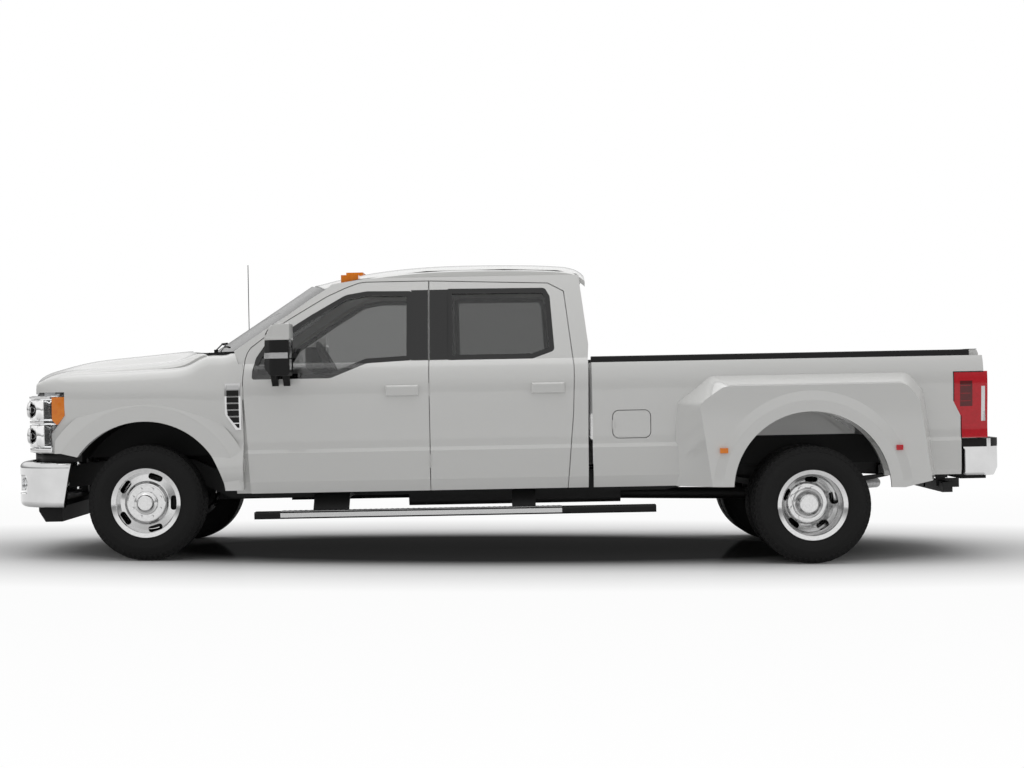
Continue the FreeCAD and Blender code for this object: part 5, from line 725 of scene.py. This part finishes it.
# Black inserts with thin bars in the fender vents: the insert's heights, then lean, how far sunk and depth
VENT_FRONT_X = AXLE_X + 573.0
VENT_REAR_X = AXLE_X + 651.0
VENT_LOW_Z = 874.0
VENT_HIGH_Z = 1190.0
VENT_CORNER_RUN = 70.0
VENT_CORNER_RISE = 105.0
VENT_STEPS = 6
VENT_PITCHES = 7
VENT_BAR_HALF = 2.0
VENT_INSERT = (889.0, 1144.0, 1.05, 0.6, 2.0)
VENT_BAR = (1.2, -0.4, 1.6)
VENT_FACE = [(874.0, 988.5), (930.0, 998.7), (960.0, 1002.1), (990.0, 1005.4), (1020.0, 1008.2),
             (1060.0, 1011.1), (1100.0, 1012.4), (1140.0, 1011.6), (1190.0, 1007.0)]


def vent_strip(form, z_low, z_high, lean, sunk, depth):
    """A strip across the vent whose front edge follows the cut corner."""
    rings = []
    for k in range(VENT_STEPS + 1):
        z = z_low + (z_high - z_low) * k / VENT_STEPS
        front = VENT_FRONT_X + lean * max(0.0, VENT_CORNER_RUN * (1 - (z - VENT_LOW_Z) / VENT_CORNER_RISE))
        half = section_half(VENT_FACE, z) - sunk
        rings.append(strip_ring(front, VENT_REAR_X, half, depth, z))
    return form.loft(rings, smooth=False)


for side in SIDES:
    on_side(side, "vent_insert", vent_strip(Form(), *VENT_INSERT), black)
    form = Form()
    for k in range(1, VENT_PITCHES - 1):
        z = VENT_LOW_Z + (VENT_HIGH_Z - VENT_LOW_Z) / VENT_PITCHES * k
        vent_strip(form, z - VENT_BAR_HALF, z + VENT_BAR_HALF, *VENT_BAR)
    on_side(side, "vent_bars", form, satin)

# Black strips in the roof's ditches, at stations that are shares of the roof's run and rise
ROOF_STATIONS = [(0.085, 0.028), (0.19, 0.060), (0.43, 0.097), (0.71, 0.100), (0.90, 0.088), (0.97, 0.066)]
ROOF_FRONT_X = AXLE_X + 1082.5
ROOF_RUN = CAB_REAR_X + 6.0 - ROOF_FRONT_X
ROOF_EDGE_Z = 1875.0
ROOF_RISE = 1260.0
DITCH_DROP = 70.0 * 0.93 ** 3
DITCH_SECTION = [(608.0, 3.0), (622.0, 3.0), (624.0, -12.0), (606.0, -10.0)]
rings = []
for u, v in ROOF_STATIONS:
    z = ROOF_EDGE_Z + ROOF_RISE * v - DITCH_DROP
    rings.append([(ROOF_FRONT_X + ROOF_RUN * u, y, z + rise) for y, rise in DITCH_SECTION])
piece("roof_ditch_strips", Form().loft(rings).mirrored(), black)

# The tailgate's top strip and handle, x from the box's rear edge
TOP_STRIP = [(-79.0, -2.0, -842.0, 842.0, 1325.6, 1329.0)]
HANDLE_CUP = [(-21.0, -10.5, -104.0, 104.0, 1160.0, 1228.0)]
HANDLE_BAR = [(-10.4, -3.0, -84.0, 84.0, 1190.0, 1222.0)]
piece("tailgate_top_strip", blocks(TOP_STRIP, BOX_REAR_X), black, body="tailgate", bevel=1.2)
piece("tailgate_handle_cup", blocks(HANDLE_CUP, BOX_REAR_X), black, body="tailgate", bevel=3.0)
piece("tailgate_handle_bar", blocks(HANDLE_BAR, BOX_REAR_X), satin, body="tailgate", bevel=4.0, segments=3)

# Rear bumper: step pads with ribs, corner and lower panels and a blank plate
PAD_X = AXLE_X + 5690.0
PAD_HEIGHTS = (664.0, 721.0)
CORNER_PLAN = [(5535.0, 936.5), (5700.0, 936.0), (5726.0, 917.0), (5751.0, 897.0), (5791.0, 857.0),
               (5801.5, 830.0), (5801.5, 345.0), (5690.0, 345.0), (5690.0, 858.0), (5535.0, 858.0)]
PAD_RIBS = [(PAD_X + 8.0, PAD_X + 80.0, 377.0 + 52.0 * k, 393.0 + 52.0 * k, 720.5, 723.0) for k in range(9)]
MIDDLE_PAD = (PAD_X, PAD_X + 88.0, -325.0, 325.0, 679.3, 682.0)
CORNER_PANELS = [(5545.0, 5700.0, -934.0, -872.0, 472.0, 664.5), (5545.0, 5700.0, 872.0, 934.0, 472.0, 664.5)]
LOWER_PANEL = [(5560.0, 5740.0, -760.0, 760.0, 440.0, 471.0), (5740.0, 5765.0, -168.0, 168.0, 517.0, 662.0),
               (5500.0, 5548.0, -900.0, -868.0, 470.0, 724.0), (5500.0, 5548.0, 868.0, 900.0, 470.0, 724.0)]
PLATE_BLANK = [(5765.5, 5768.0, -152.0, 152.0, 528.0, 650.0)]
form = Form().plan([(AXLE_X + x, y) for x, y in CORNER_PLAN], *PAD_HEIGHTS)
for rib in PAD_RIBS:
    form.box(*rib)
form.mirrored()
form.box(*MIDDLE_PAD)
piece("bumper_step_pads", form, black, bevel=2.0)
piece("bumper_corner_panels", blocks(CORNER_PANELS, AXLE_X), chrome, "chrome", bevel=22.0, segments=4)
piece("bumper_lower_panel", blocks(LOWER_PANEL, AXLE_X), black, bevel=4.0)
piece("rear_plate_blank", blocks(PLATE_BLANK, AXLE_X), satin_metal, "chrome", bevel=1.5)

# Tail lamps: strips over the red lenses as x from the lamp's front, heights, proud, depth and steps
TAIL_LAMP_X = AXLE_X + 5466.5
TAIL_WINDOW = [(46.0, 128.0, 941.0, 1112.0, 1.4, 2.4, 8)]
TAIL_LINES = [(48.0, 116.0, low, low + 2.4, 1.9, 1.0, 1) for low in (975.0, 1027.0, 1079.0)]
TAIL_CLEAR = [(188.0, 213.0, 840.0, 1075.0, 1.2, 3.0, 8)]
TAIL_CLEAR_REAR = (TAIL_LAMP_X + 205.0, TAIL_LAMP_X + 214.8, 890.0, 994.0, 840.0, 1075.0)
TAIL_EDGES = [(0.0, 6.0, 979.0, 1175.0, 1.2, 3.0, 8), (0.0, 205.0, 1170.0, 1176.0, 1.2, 3.0, 2),
              (50.5, 56.0, 729.0, 878.0, 1.2, 3.0, 8)]


def lamp_strips(rows):
    form = Form()
    for x_low, x_high, *rest in rows:
        side_strip(form, TAIL_LAMP_X + x_low, TAIL_LAMP_X + x_high, *rest)
    return form


for side in SIDES:
    on_side(side, "tail_lamp_window", lamp_strips(TAIL_WINDOW), deep_red, "red_lens")
    on_side(side, "tail_lamp_lines", lamp_strips(TAIL_LINES), red_body, "red_lens")
    form = lamp_strips(TAIL_CLEAR).box(*TAIL_CLEAR_REAR)
    on_side(side, "tail_lamp_clear", form, satin_metal, "lamp_glass", bevel=0.6)
    on_side(side, "tail_lamp_edge", lamp_strips(TAIL_EDGES), black)

# Running boards: a bright plate and edge with black grips across, x from the plate's front
PLATE_FRONT_X = AXLE_X + 930.0
PLATE_LENGTH = 1885.0
BOARD_PLATE = [(0.0, PLATE_LENGTH, 1000.0, 1080.0, 322.3, 325.0),
               (0.0, PLATE_LENGTH, 1092.2, 1094.5, 284.0, 314.0)]
GRIP_COUNT = 52
GRIP_END = 20.0
GRIP_PITCH = (PLATE_LENGTH - 2 * GRIP_END) / (GRIP_COUNT - 1)
GRIP_SPAN = (1012.0, 1068.0, 325.0, 327.0)
GRIP_HALF = 9.0
grips = [(GRIP_END + GRIP_PITCH * k - GRIP_HALF, GRIP_END + GRIP_PITCH * k + GRIP_HALF, *GRIP_SPAN)
         for k in range(GRIP_COUNT)]
for side in SIDES:
    on_side(side, "board_plate", blocks(BOARD_PLATE, PLATE_FRONT_X), satin_metal, "chrome", bevel=1.0)
    on_side(side, "board_grips", blocks(grips, PLATE_FRONT_X), black, bevel=0.6)

# Fuel filler behind its lid
FILLER_X = AXLE_X + 3297.5
FILLER_MIDDLE = (FILLER_X, -958.0, 863.5)
FILLER = (34.0, -16.0, 2.0)
FILLER_GRIP = (FILLER_X - 4.0, FILLER_X + 4.0, -978.0, -972.0, 840.0, 887.0)
piece("filler_cap", Form().disc(FILLER_MIDDLE, *FILLER).box(*FILLER_GRIP), black, bevel=1.5)

# Nose: the plan curve as shares of its run and half-width; a band's tip, run, half, depth and heights
NOSE_SHARES = [(0.0, 0.0), (0.012, 0.30), (0.055, 0.56), (0.16, 0.75), (0.41, 0.88), (0.74, 0.955),
               (1.10, 0.985)]
NOSE_TAPER = 0.4
FRONT_X = AXLE_X - 958.0
NOSE_FILLER = (FRONT_X + 112.0, 350.0, 985.0, 40.0, 678.0, 738.0)
GRILLE_BACK = [(168.0, 176.0, -530.0, 530.0, 770.0, 1122.0)]


def nose_curve(tip_x, run, half, steps=4):
    """Points round the nose from the middle to the right side."""
    points = []
    for (u, v), (p, q) in zip(NOSE_SHARES, NOSE_SHARES[1:]):
        for k in range(steps):
            share = k / steps
            points.append((tip_x + run * (u + (p - u) * share), half * (v + (q - v) * share)))
    points.append((tip_x + run * NOSE_SHARES[-1][0], half * NOSE_SHARES[-1][1]))
    return points


def nose_band(form, tip_x, run, half, depth, z_low, z_high, first=0, last=None):
    """A band round the right half of the nose, between two of the curve's points."""
    rings = []
    for x, y in nose_curve(tip_x, run, half)[first:last]:
        rear_x = x + depth
        rear_y = y - depth * NOSE_TAPER
        rings.append([(x, y, z_low), (x, y, z_high), (rear_x, rear_y, z_high), (rear_x, rear_y, z_low)])
    return form.loft(rings)


piece("nose_filler", nose_band(Form(), *NOSE_FILLER).mirrored(), black)
piece("grille_back", blocks(GRILLE_BACK, FRONT_X), black)

# Headlamps: bands as depth, heights and the curve's points, then turned profiles with their steps
LAMP_TIP_X = FRONT_X + 83.0
LAMP_RUN = 330.0
LAMP_HALF = 1000.0
LAMP_PROUD = 2.0
LAMP_FINS = [(5.0, 742.0, 770.0, 8, 21), (5.0, 938.0, 956.0, 8, 19), (5.0, 1106.0, 1124.0, 8, 21)]
LAMP_FACES = [(4.0, 780.0, 928.0, 8, 19), (4.0, 966.0, 1098.0, 8, 19)]
BOWL_YS = (668.0, 792.0)
BOWL_ZS = (854.0, 1032.0)
BOWL_PROUD = 4.0
BOWLS = [([(44.0, -9.0), (52.0, -9.0), (56.0, 6.0), (44.0, 6.0)], 36),
         ([(20.0, -7.0), (24.0, -7.0), (24.0, 6.0), (20.0, 6.0)], 28)]
CORES = [([(0.5, -14.0), (14.0, -11.0), (19.0, -4.0), (19.0, 6.0), (0.5, 6.0)], 28),
         ([(25.0, -4.0), (43.0, -4.0), (43.0, 4.0), (25.0, 4.0)], 36)]


def lamp_bands(bands):
    form = Form()
    for band in bands:
        nose_band(form, LAMP_TIP_X - LAMP_PROUD, LAMP_RUN, LAMP_HALF, *band)
    return form


def lamp_turns(profiles):
    """The turned profiles at each of a lamp's four bowls, just ahead of the lamp's face."""
    form = Form()
    for y in BOWL_YS:
        inboard = [x for x, across in nose_curve(LAMP_TIP_X, LAMP_RUN, LAMP_HALF) if across <= y]
        for z in BOWL_ZS:
            for profile, steps in profiles:
                form.turn(profile, (inboard[-1] - BOWL_PROUD, y, z), axis="x", steps=steps)
    return form


for side in SIDES:
    on_side(side, "lamp_fins", lamp_bands(LAMP_FINS), chrome, "chrome")
    on_side(side, "lamp_faces", lamp_bands(LAMP_FACES), reflector, "chrome")
    on_side(side, "lamp_bowls", lamp_turns(BOWLS), chrome, "chrome")
    on_side(side, "lamp_cores", lamp_turns(CORES), gloss_black)

# Seats: each cushion, back and head rest is a padded form of its own
SOFT_STEPS = 22
SOFT_POWER = 7.0
SOFT_CROWN = 0.10
SOFT_WAIST = 0.035
SOFT_FACE = 0.5
BOLSTER_START = 0.62
BOLSTER_POWER = 12
BOLSTER_DROP = 0.4


def soft_point(a, b, c, half_sizes, channels, bolster):
    """A point of a soft block with crowned faces, sides pulled in and sewn channels on its upper face."""
    size = (abs(a) ** SOFT_POWER + abs(b) ** SOFT_POWER + abs(c) ** SOFT_POWER) ** (1 / SOFT_POWER)
    a, b, c = a / size, b / size, c / size
    draw = 1 - SOFT_WAIST * (1 - b * b) * (1 - c * c)
    pull = 1 - SOFT_WAIST * (1 - a * a) * (1 - c * c)
    swell = 1 - SOFT_CROWN + SOFT_CROWN * (1 - a * a) * (1 - b * b)
    x, y, z = (share * half for share, half in zip((a * draw, b * pull, c * swell), half_sizes))
    if c > SOFT_FACE:
        for across, place, depth, width in channels:
            z -= depth * math.exp(-(((a if across else b) - place) / width) ** 2)
        edge = max(0.0, abs(b) - BOLSTER_START) / (1 - BOLSTER_START) * (1 - abs(b) ** BOLSTER_POWER)
        z += bolster * (edge - BOLSTER_DROP)
    return x, y, z


def soft_block(place, half_sizes, channels, bolster):
    """A closed grid of soft points, which its six faces share along their edges."""
    index = {}
    points = []
    faces = []

    def corner(*steps):
        if steps not in index:
            index[steps] = len(points)
            shares = [2 * step / SOFT_STEPS - 1 for step in steps]
            points.append(place(*soft_point(*shares, half_sizes, channels, bolster)))
        return index[steps]

    for u in range(SOFT_STEPS):
        for v in range(SOFT_STEPS):
            square = [(u, v), (u + 1, v), (u + 1, v + 1), (u, v + 1)]
            for end in (0, SOFT_STEPS):
                faces.append([corner(i, j, end) for i, j in square])
                faces.append([corner(i, end, j) for i, j in square])
                faces.append([corner(end, i, j) for i, j in square])
    return Form().add(points, faces, smooth=True)


def pad(name, shape, start_x, y, channels=(), bolster=0.0, nodes=()):
    """A padded piece between two ends in the side view, with its front face forwards."""
    low, high, half_sizes = shape
    low = Vector((start_x + low[0], low[1]))
    high = Vector((start_x + high[0], high[1]))
    along = (high - low).normalized()
    forwards = Vector((-along.y, along.x))

    def place(x, across, out):
        spot = (low + high) / 2 + along * x + forwards * out
        return (spot.x, y + across, spot.y)

    shown = piece(name, soft_block(place, half_sizes, channels, bolster), seat_cloth, "seat_fabric")
    if nodes:
        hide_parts(*nodes)


# Pads as their two ends, x from the seat's front and z, and half sizes along, across and through
SEAT_X = AXLE_X + 1290.0
SEAT_Y = 440.0
SEAT_CUSHION = ((2.0, 825.0), (538.0, 825.0), (266.0, 257.0, 72.0))
SEAT_BACK = ((497.0, 850.0), (634.0, 1425.0), (292.0, 249.0, 54.0))
SEAT_REST = ((642.0, 1440.0), (662.0, 1626.0), (92.0, 136.0, 30.0))
SEAT_BOLSTER = 8.0
BENCH_X = AXLE_X + 2260.0
BENCH_REST_Y = 430.0
BENCH_CUSHION = ((2.0, 825.0), (498.0, 825.0), (246.0, 736.0, 72.0))
BENCH_BACK = ((450.0, 870.0), (554.0, 1394.0), (264.0, 736.0, 38.0))
BENCH_REST = ((556.0, 1398.0), (566.0, 1516.0), (58.0, 126.0, 23.0))
BENCH_BOLSTER = 4.0
# Channels as whether they run across, their place, depth and width
CUSHION_CHANNELS = [(True, -0.35, 5.0, 0.035), (True, 0.15, 5.0, 0.035), (False, -0.6, 6.0, 0.03),
                    (False, 0.6, 6.0, 0.03)]
BACK_CHANNELS = [(True, -0.45, 4.0, 0.03), (True, 0.05, 4.0, 0.03), (True, 0.5, 4.0, 0.03),
                 (False, -0.6, 5.0, 0.03), (False, 0.6, 5.0, 0.03)]
BENCH_CHANNELS = [(True, 0.1, 5.0, 0.035), (False, -0.34, 7.0, 0.012), (False, 0.34, 7.0, 0.012)]
BENCH_BACK_CHANNELS = [(True, 0.2, 4.0, 0.03), (False, -0.34, 6.0, 0.012), (False, 0.34, 6.0, 0.012)]
for side in SIDES:
    y = OUTWARD[side] * SEAT_Y
    stands_for = ("front_seats",) if side == "left" else ()
    pad("seat_cushion_" + side, SEAT_CUSHION, SEAT_X, y, CUSHION_CHANNELS, SEAT_BOLSTER, stands_for)
    pad("seat_back_" + side, SEAT_BACK, SEAT_X, y, BACK_CHANNELS, SEAT_BOLSTER)
    pad("seat_rest_" + side, SEAT_REST, SEAT_X, y)
pad("bench_cushion", BENCH_CUSHION, BENCH_X, 0.0, BENCH_CHANNELS, BENCH_BOLSTER, ("rear_bench",))
pad("bench_back", BENCH_BACK, BENCH_X, 0.0, BENCH_BACK_CHANNELS, BENCH_BOLSTER)
for side in SIDES:
    pad("bench_rest_" + side, BENCH_REST, BENCH_X, OUTWARD[side] * BENCH_REST_Y)

# Seat frames and the posts of the head rests, as place, radius and height
SEAT_FRAME = [(60.0, 500.0, -218.0, 218.0, 582.0, 766.0), (60.0, 500.0, -250.0, -236.0, 700.0, 770.0),
              (60.0, 500.0, 236.0, 250.0, 700.0, 770.0)]
BENCH_FRAME = [(40.0, 420.0, -700.0, 700.0, 582.0, 766.0)]
SEAT_POST = (640.0, 55.0, 1412.0, 6.0, 50.0)
BENCH_POST = (555.0, 50.0, 1380.0, 5.0, 40.0)
POST_STEPS = 12


def posts(form, post, start_x, y):
    x, half_gap, z, radius, height = post
    for out in (-half_gap, half_gap):
        form.disc((start_x + x, y + out, z), radius, 0.0, height, "z", POST_STEPS)


form = blocks(BENCH_FRAME, BENCH_X)
for side in SIDES:
    y = OUTWARD[side] * SEAT_Y
    for x_low, x_high, low, high, *heights in SEAT_FRAME:
        form.box(SEAT_X + x_low, SEAT_X + x_high, y + low, y + high, *heights)
    posts(form, SEAT_POST, SEAT_X, y)
    posts(form, BENCH_POST, BENCH_X, OUTWARD[side] * BENCH_REST_Y)
piece("seat_frames", form, cabin_grey, "cabin_plastic", bevel=5.0)

# Front of the cabin: dials, screen, vents, knobs and the console's top
DASH_REAR_X = AXLE_X + 1120.0
DIAL_PANEL = [(-12.0, 2.4, -560.0, -240.0, 1120.0, 1218.0)]
DIAL_YS = (-480.0, -320.0)
DIAL_Z = 1168.0
DIAL_RIM = [(36.0, 0.0), (42.0, 0.0), (42.0, 5.0), (36.0, 5.0)]
DIAL_STEPS = 36
DASH_SKIN = 1.0
CENTRE_SCREEN = [(-10.0, 4.0, -118.0, 118.0, 1060.0, 1200.0)]
SLAT_YS = (-190.0, 130.0, 520.0, -720.0)
SLAT_ZS = (1090.0, 1108.0, 1126.0, 1144.0, 1162.0)
DASH_SLATS = [(-6.0, 3.4, low, low + 60.0, z, z + 8.0) for low in SLAT_YS for z in SLAT_ZS]
KNOB_YS = (-90.0, -54.0, -18.0, 18.0, 54.0, 90.0)
KNOB_Z = 1032.0
KNOB = (12.0, -4.0, 8.0, "x", 20)
CONSOLE_TOP = [(1080.0, 1380.0, -120.0, 120.0, 899.0, 903.0)]
CUP_X = AXLE_X + 1300.0
CUP_YS = (-55.0, 55.0)
CUP_Z = 901.0
CUP_RIM = [(38.0, 0.0), (44.0, 0.0), (44.0, 8.0), (38.0, 8.0)]
CUP_STEPS = 30
piece("dial_panel", blocks(DIAL_PANEL, DASH_REAR_X), gloss_black, bevel=8.0, segments=3)
form = Form()
for y in DIAL_YS:
    form.turn(DIAL_RIM, (DASH_REAR_X + DASH_SKIN, y, DIAL_Z), axis="x", steps=DIAL_STEPS)
piece("dial_rims", form, satin_metal, "chrome")
piece("centre_screen", blocks(CENTRE_SCREEN, DASH_REAR_X), screen_face, bevel=6.0, segments=3)
piece("dash_vents", blocks(DASH_SLATS, DASH_REAR_X), black, bevel=1.0)
form = Form()
for y in KNOB_YS:
    form.disc((DASH_REAR_X + DASH_SKIN, y, KNOB_Z), *KNOB)
piece("dash_knobs", form, satin, bevel=1.5)
form = blocks(CONSOLE_TOP, AXLE_X)
for y in CUP_YS:
    form.turn(CUP_RIM, (CUP_X, y, CUP_Z), axis="z", steps=CUP_STEPS)
piece("console_top", form, satin, bevel=1.5)

# Floor: stops of its colour, which is painted shade, dark below the object and pale further out, and of its
# fade to white, as metres from the object's middle and values
FLOOR_HALF = 60.0
FLOOR_REACH = (0.41, 1.0, 1.0)
FLOOR_PAINTED_SHADE_STEPS = [(0.0, 0.03), (0.95, 0.05), (1.32, 0.62), (1.8, 0.80), (3.0, 0.86)]
FLOOR_FADE = [(1.3, 0.0), (2.8, 0.93), (8.2, 1.0)]
FLOOR_SPAN = 8.5
FLOOR_SHEEN = 0.05
FLOOR_ROUGHNESS = 0.07


def shown_directly(nodes, links):
    """One for rays seen by the camera or mirrored or passed on by a surface, zero for light."""
    path = nodes.new("ShaderNodeLightPath").outputs
    seen = math_node(nodes, links, "MAXIMUM", path["Is Camera Ray"], path["Is Glossy Ray"])
    return math_node(nodes, links, "MAXIMUM", seen, path["Is Transmission Ray"])


def distance_ramp(nodes, links, distance, stops):
    """A ramp over the distance from the object's middle, from (distance, value) stops."""
    ramp = nodes.new("ShaderNodeValToRGB")
    elements = ramp.color_ramp.elements
    while len(elements) < len(stops):
        elements.new(elements[-1].position)
    for element, (reach, value) in zip(elements, stops):
        element.position = reach / FLOOR_SPAN
        element.color = tone(value)
    links.new(distance, ramp.inputs["Fac"])
    return ramp.outputs["Color"]


def mixed(nodes, links, first, second):
    """A mix of two shaders, and the socket of the second one's share."""
    mix = nodes.new("ShaderNodeMixShader")
    links.new(first, mix.inputs[1])
    links.new(second, mix.inputs[2])
    return mix.outputs["Shader"], mix.inputs["Fac"]


def floor_material():
    """A pale floor with painted shade in its colour, dark below the object, which fades to plain white away
    from it.
    """
    material, nodes, links, shader = new_material("pale_floor")
    nodes.remove(shader)
    place = nodes.new("ShaderNodeTexCoord")
    scaled = nodes.new("ShaderNodeVectorMath")
    scaled.operation = "MULTIPLY"
    scaled.inputs[1].default_value = FLOOR_REACH
    length = nodes.new("ShaderNodeVectorMath")
    length.operation = "LENGTH"
    links.new(place.outputs["Object"], scaled.inputs[0])
    links.new(scaled.outputs["Vector"], length.inputs[0])
    share = math_node(nodes, links, "DIVIDE", length.outputs["Value"], FLOOR_SPAN)
    matt = nodes.new("ShaderNodeBsdfDiffuse")
    # The floor's colour is painted shade: dark below the object, pale further out
    links.new(distance_ramp(nodes, links, share, FLOOR_PAINTED_SHADE_STEPS), matt.inputs["Color"])
    gloss = nodes.new("ShaderNodeBsdfGlossy")
    set_inputs(gloss, {"Roughness": FLOOR_ROUGHNESS})
    surface, sheen = mixed(nodes, links, matt.outputs["BSDF"], gloss.outputs["BSDF"])
    sheen.default_value = FLOOR_SHEEN
    fade = distance_ramp(nodes, links, share, FLOOR_FADE)
    glow = nodes.new("ShaderNodeEmission")
    whole, seen = mixed(nodes, links, surface, glow.outputs["Emission"])
    links.new(math_node(nodes, links, "MULTIPLY", fade, shown_directly(nodes, links)), seen)
    links.new(whole, nodes["Material Output"].inputs["Surface"])
    return material


floor_mesh = bpy.data.meshes.new("floor")
floor_corners = [(x * FLOOR_HALF, y * FLOOR_HALF, 0) for x, y in ((-1, -1), (1, -1), (1, 1), (-1, 1))]
floor_mesh.from_pydata(floor_corners, [], [(0, 1, 2, 3)])
floor_mesh.materials.append(floor_material())
floor = put("floor", floor_mesh)

# The world lights evenly and is white where seen; mirrored rays meet a darker band low down
WORLD_LIGHT = 0.54
BAND_LIGHT = 0.30
BAND_LOW = 0.03
BAND_HIGH = 0.34
world = bpy.data.worlds.new("studio")
world.use_nodes = True
bpy.context.scene.world = world
nodes = world.node_tree.nodes
links = world.node_tree.links
sky = nodes["Background"]
set_inputs(sky, {"Color": tone(1.0)})
strength = nodes.new("ShaderNodeMapRange")
set_inputs(strength, {"To Min": WORLD_LIGHT, "To Max": 1.0})
links.new(shown_directly(nodes, links), strength.inputs["Value"])
direction = nodes.new("ShaderNodeTexCoord")
height = nodes.new("ShaderNodeSeparateXYZ")
band = nodes.new("ShaderNodeMapRange")
band.interpolation_type = "SMOOTHSTEP"
set_inputs(band, {"From Min": BAND_LOW, "From Max": BAND_HIGH, "To Min": BAND_LIGHT, "To Max": 1.0})
links.new(direction.outputs["Generated"], height.inputs["Vector"])
links.new(height.outputs["Z"], band.inputs["Value"])
path = nodes.new("ShaderNodeLightPath")
blend = nodes.new("ShaderNodeMix")
links.new(path.outputs["Is Glossy Ray"], blend.inputs[0])
links.new(strength.outputs["Result"], blend.inputs[2])
links.new(band.outputs["Result"], blend.inputs[3])
links.new(blend.outputs[0], sky.inputs["Strength"])

# One wide lamp overhead
OVERHEAD_Z = 5.5
OVERHEAD_X = 11.0
OVERHEAD_Y = 6.0
OVERHEAD_POWER = 150.0
lamp_data = bpy.data.lights.new("overhead", "AREA")
lamp_data.shape = "RECTANGLE"
lamp_data.size = OVERHEAD_X
lamp_data.size_y = OVERHEAD_Y
lamp_data.energy = OVERHEAD_POWER
overhead = put("overhead", lamp_data)
overhead.location = (0, 0, OVERHEAD_Z)
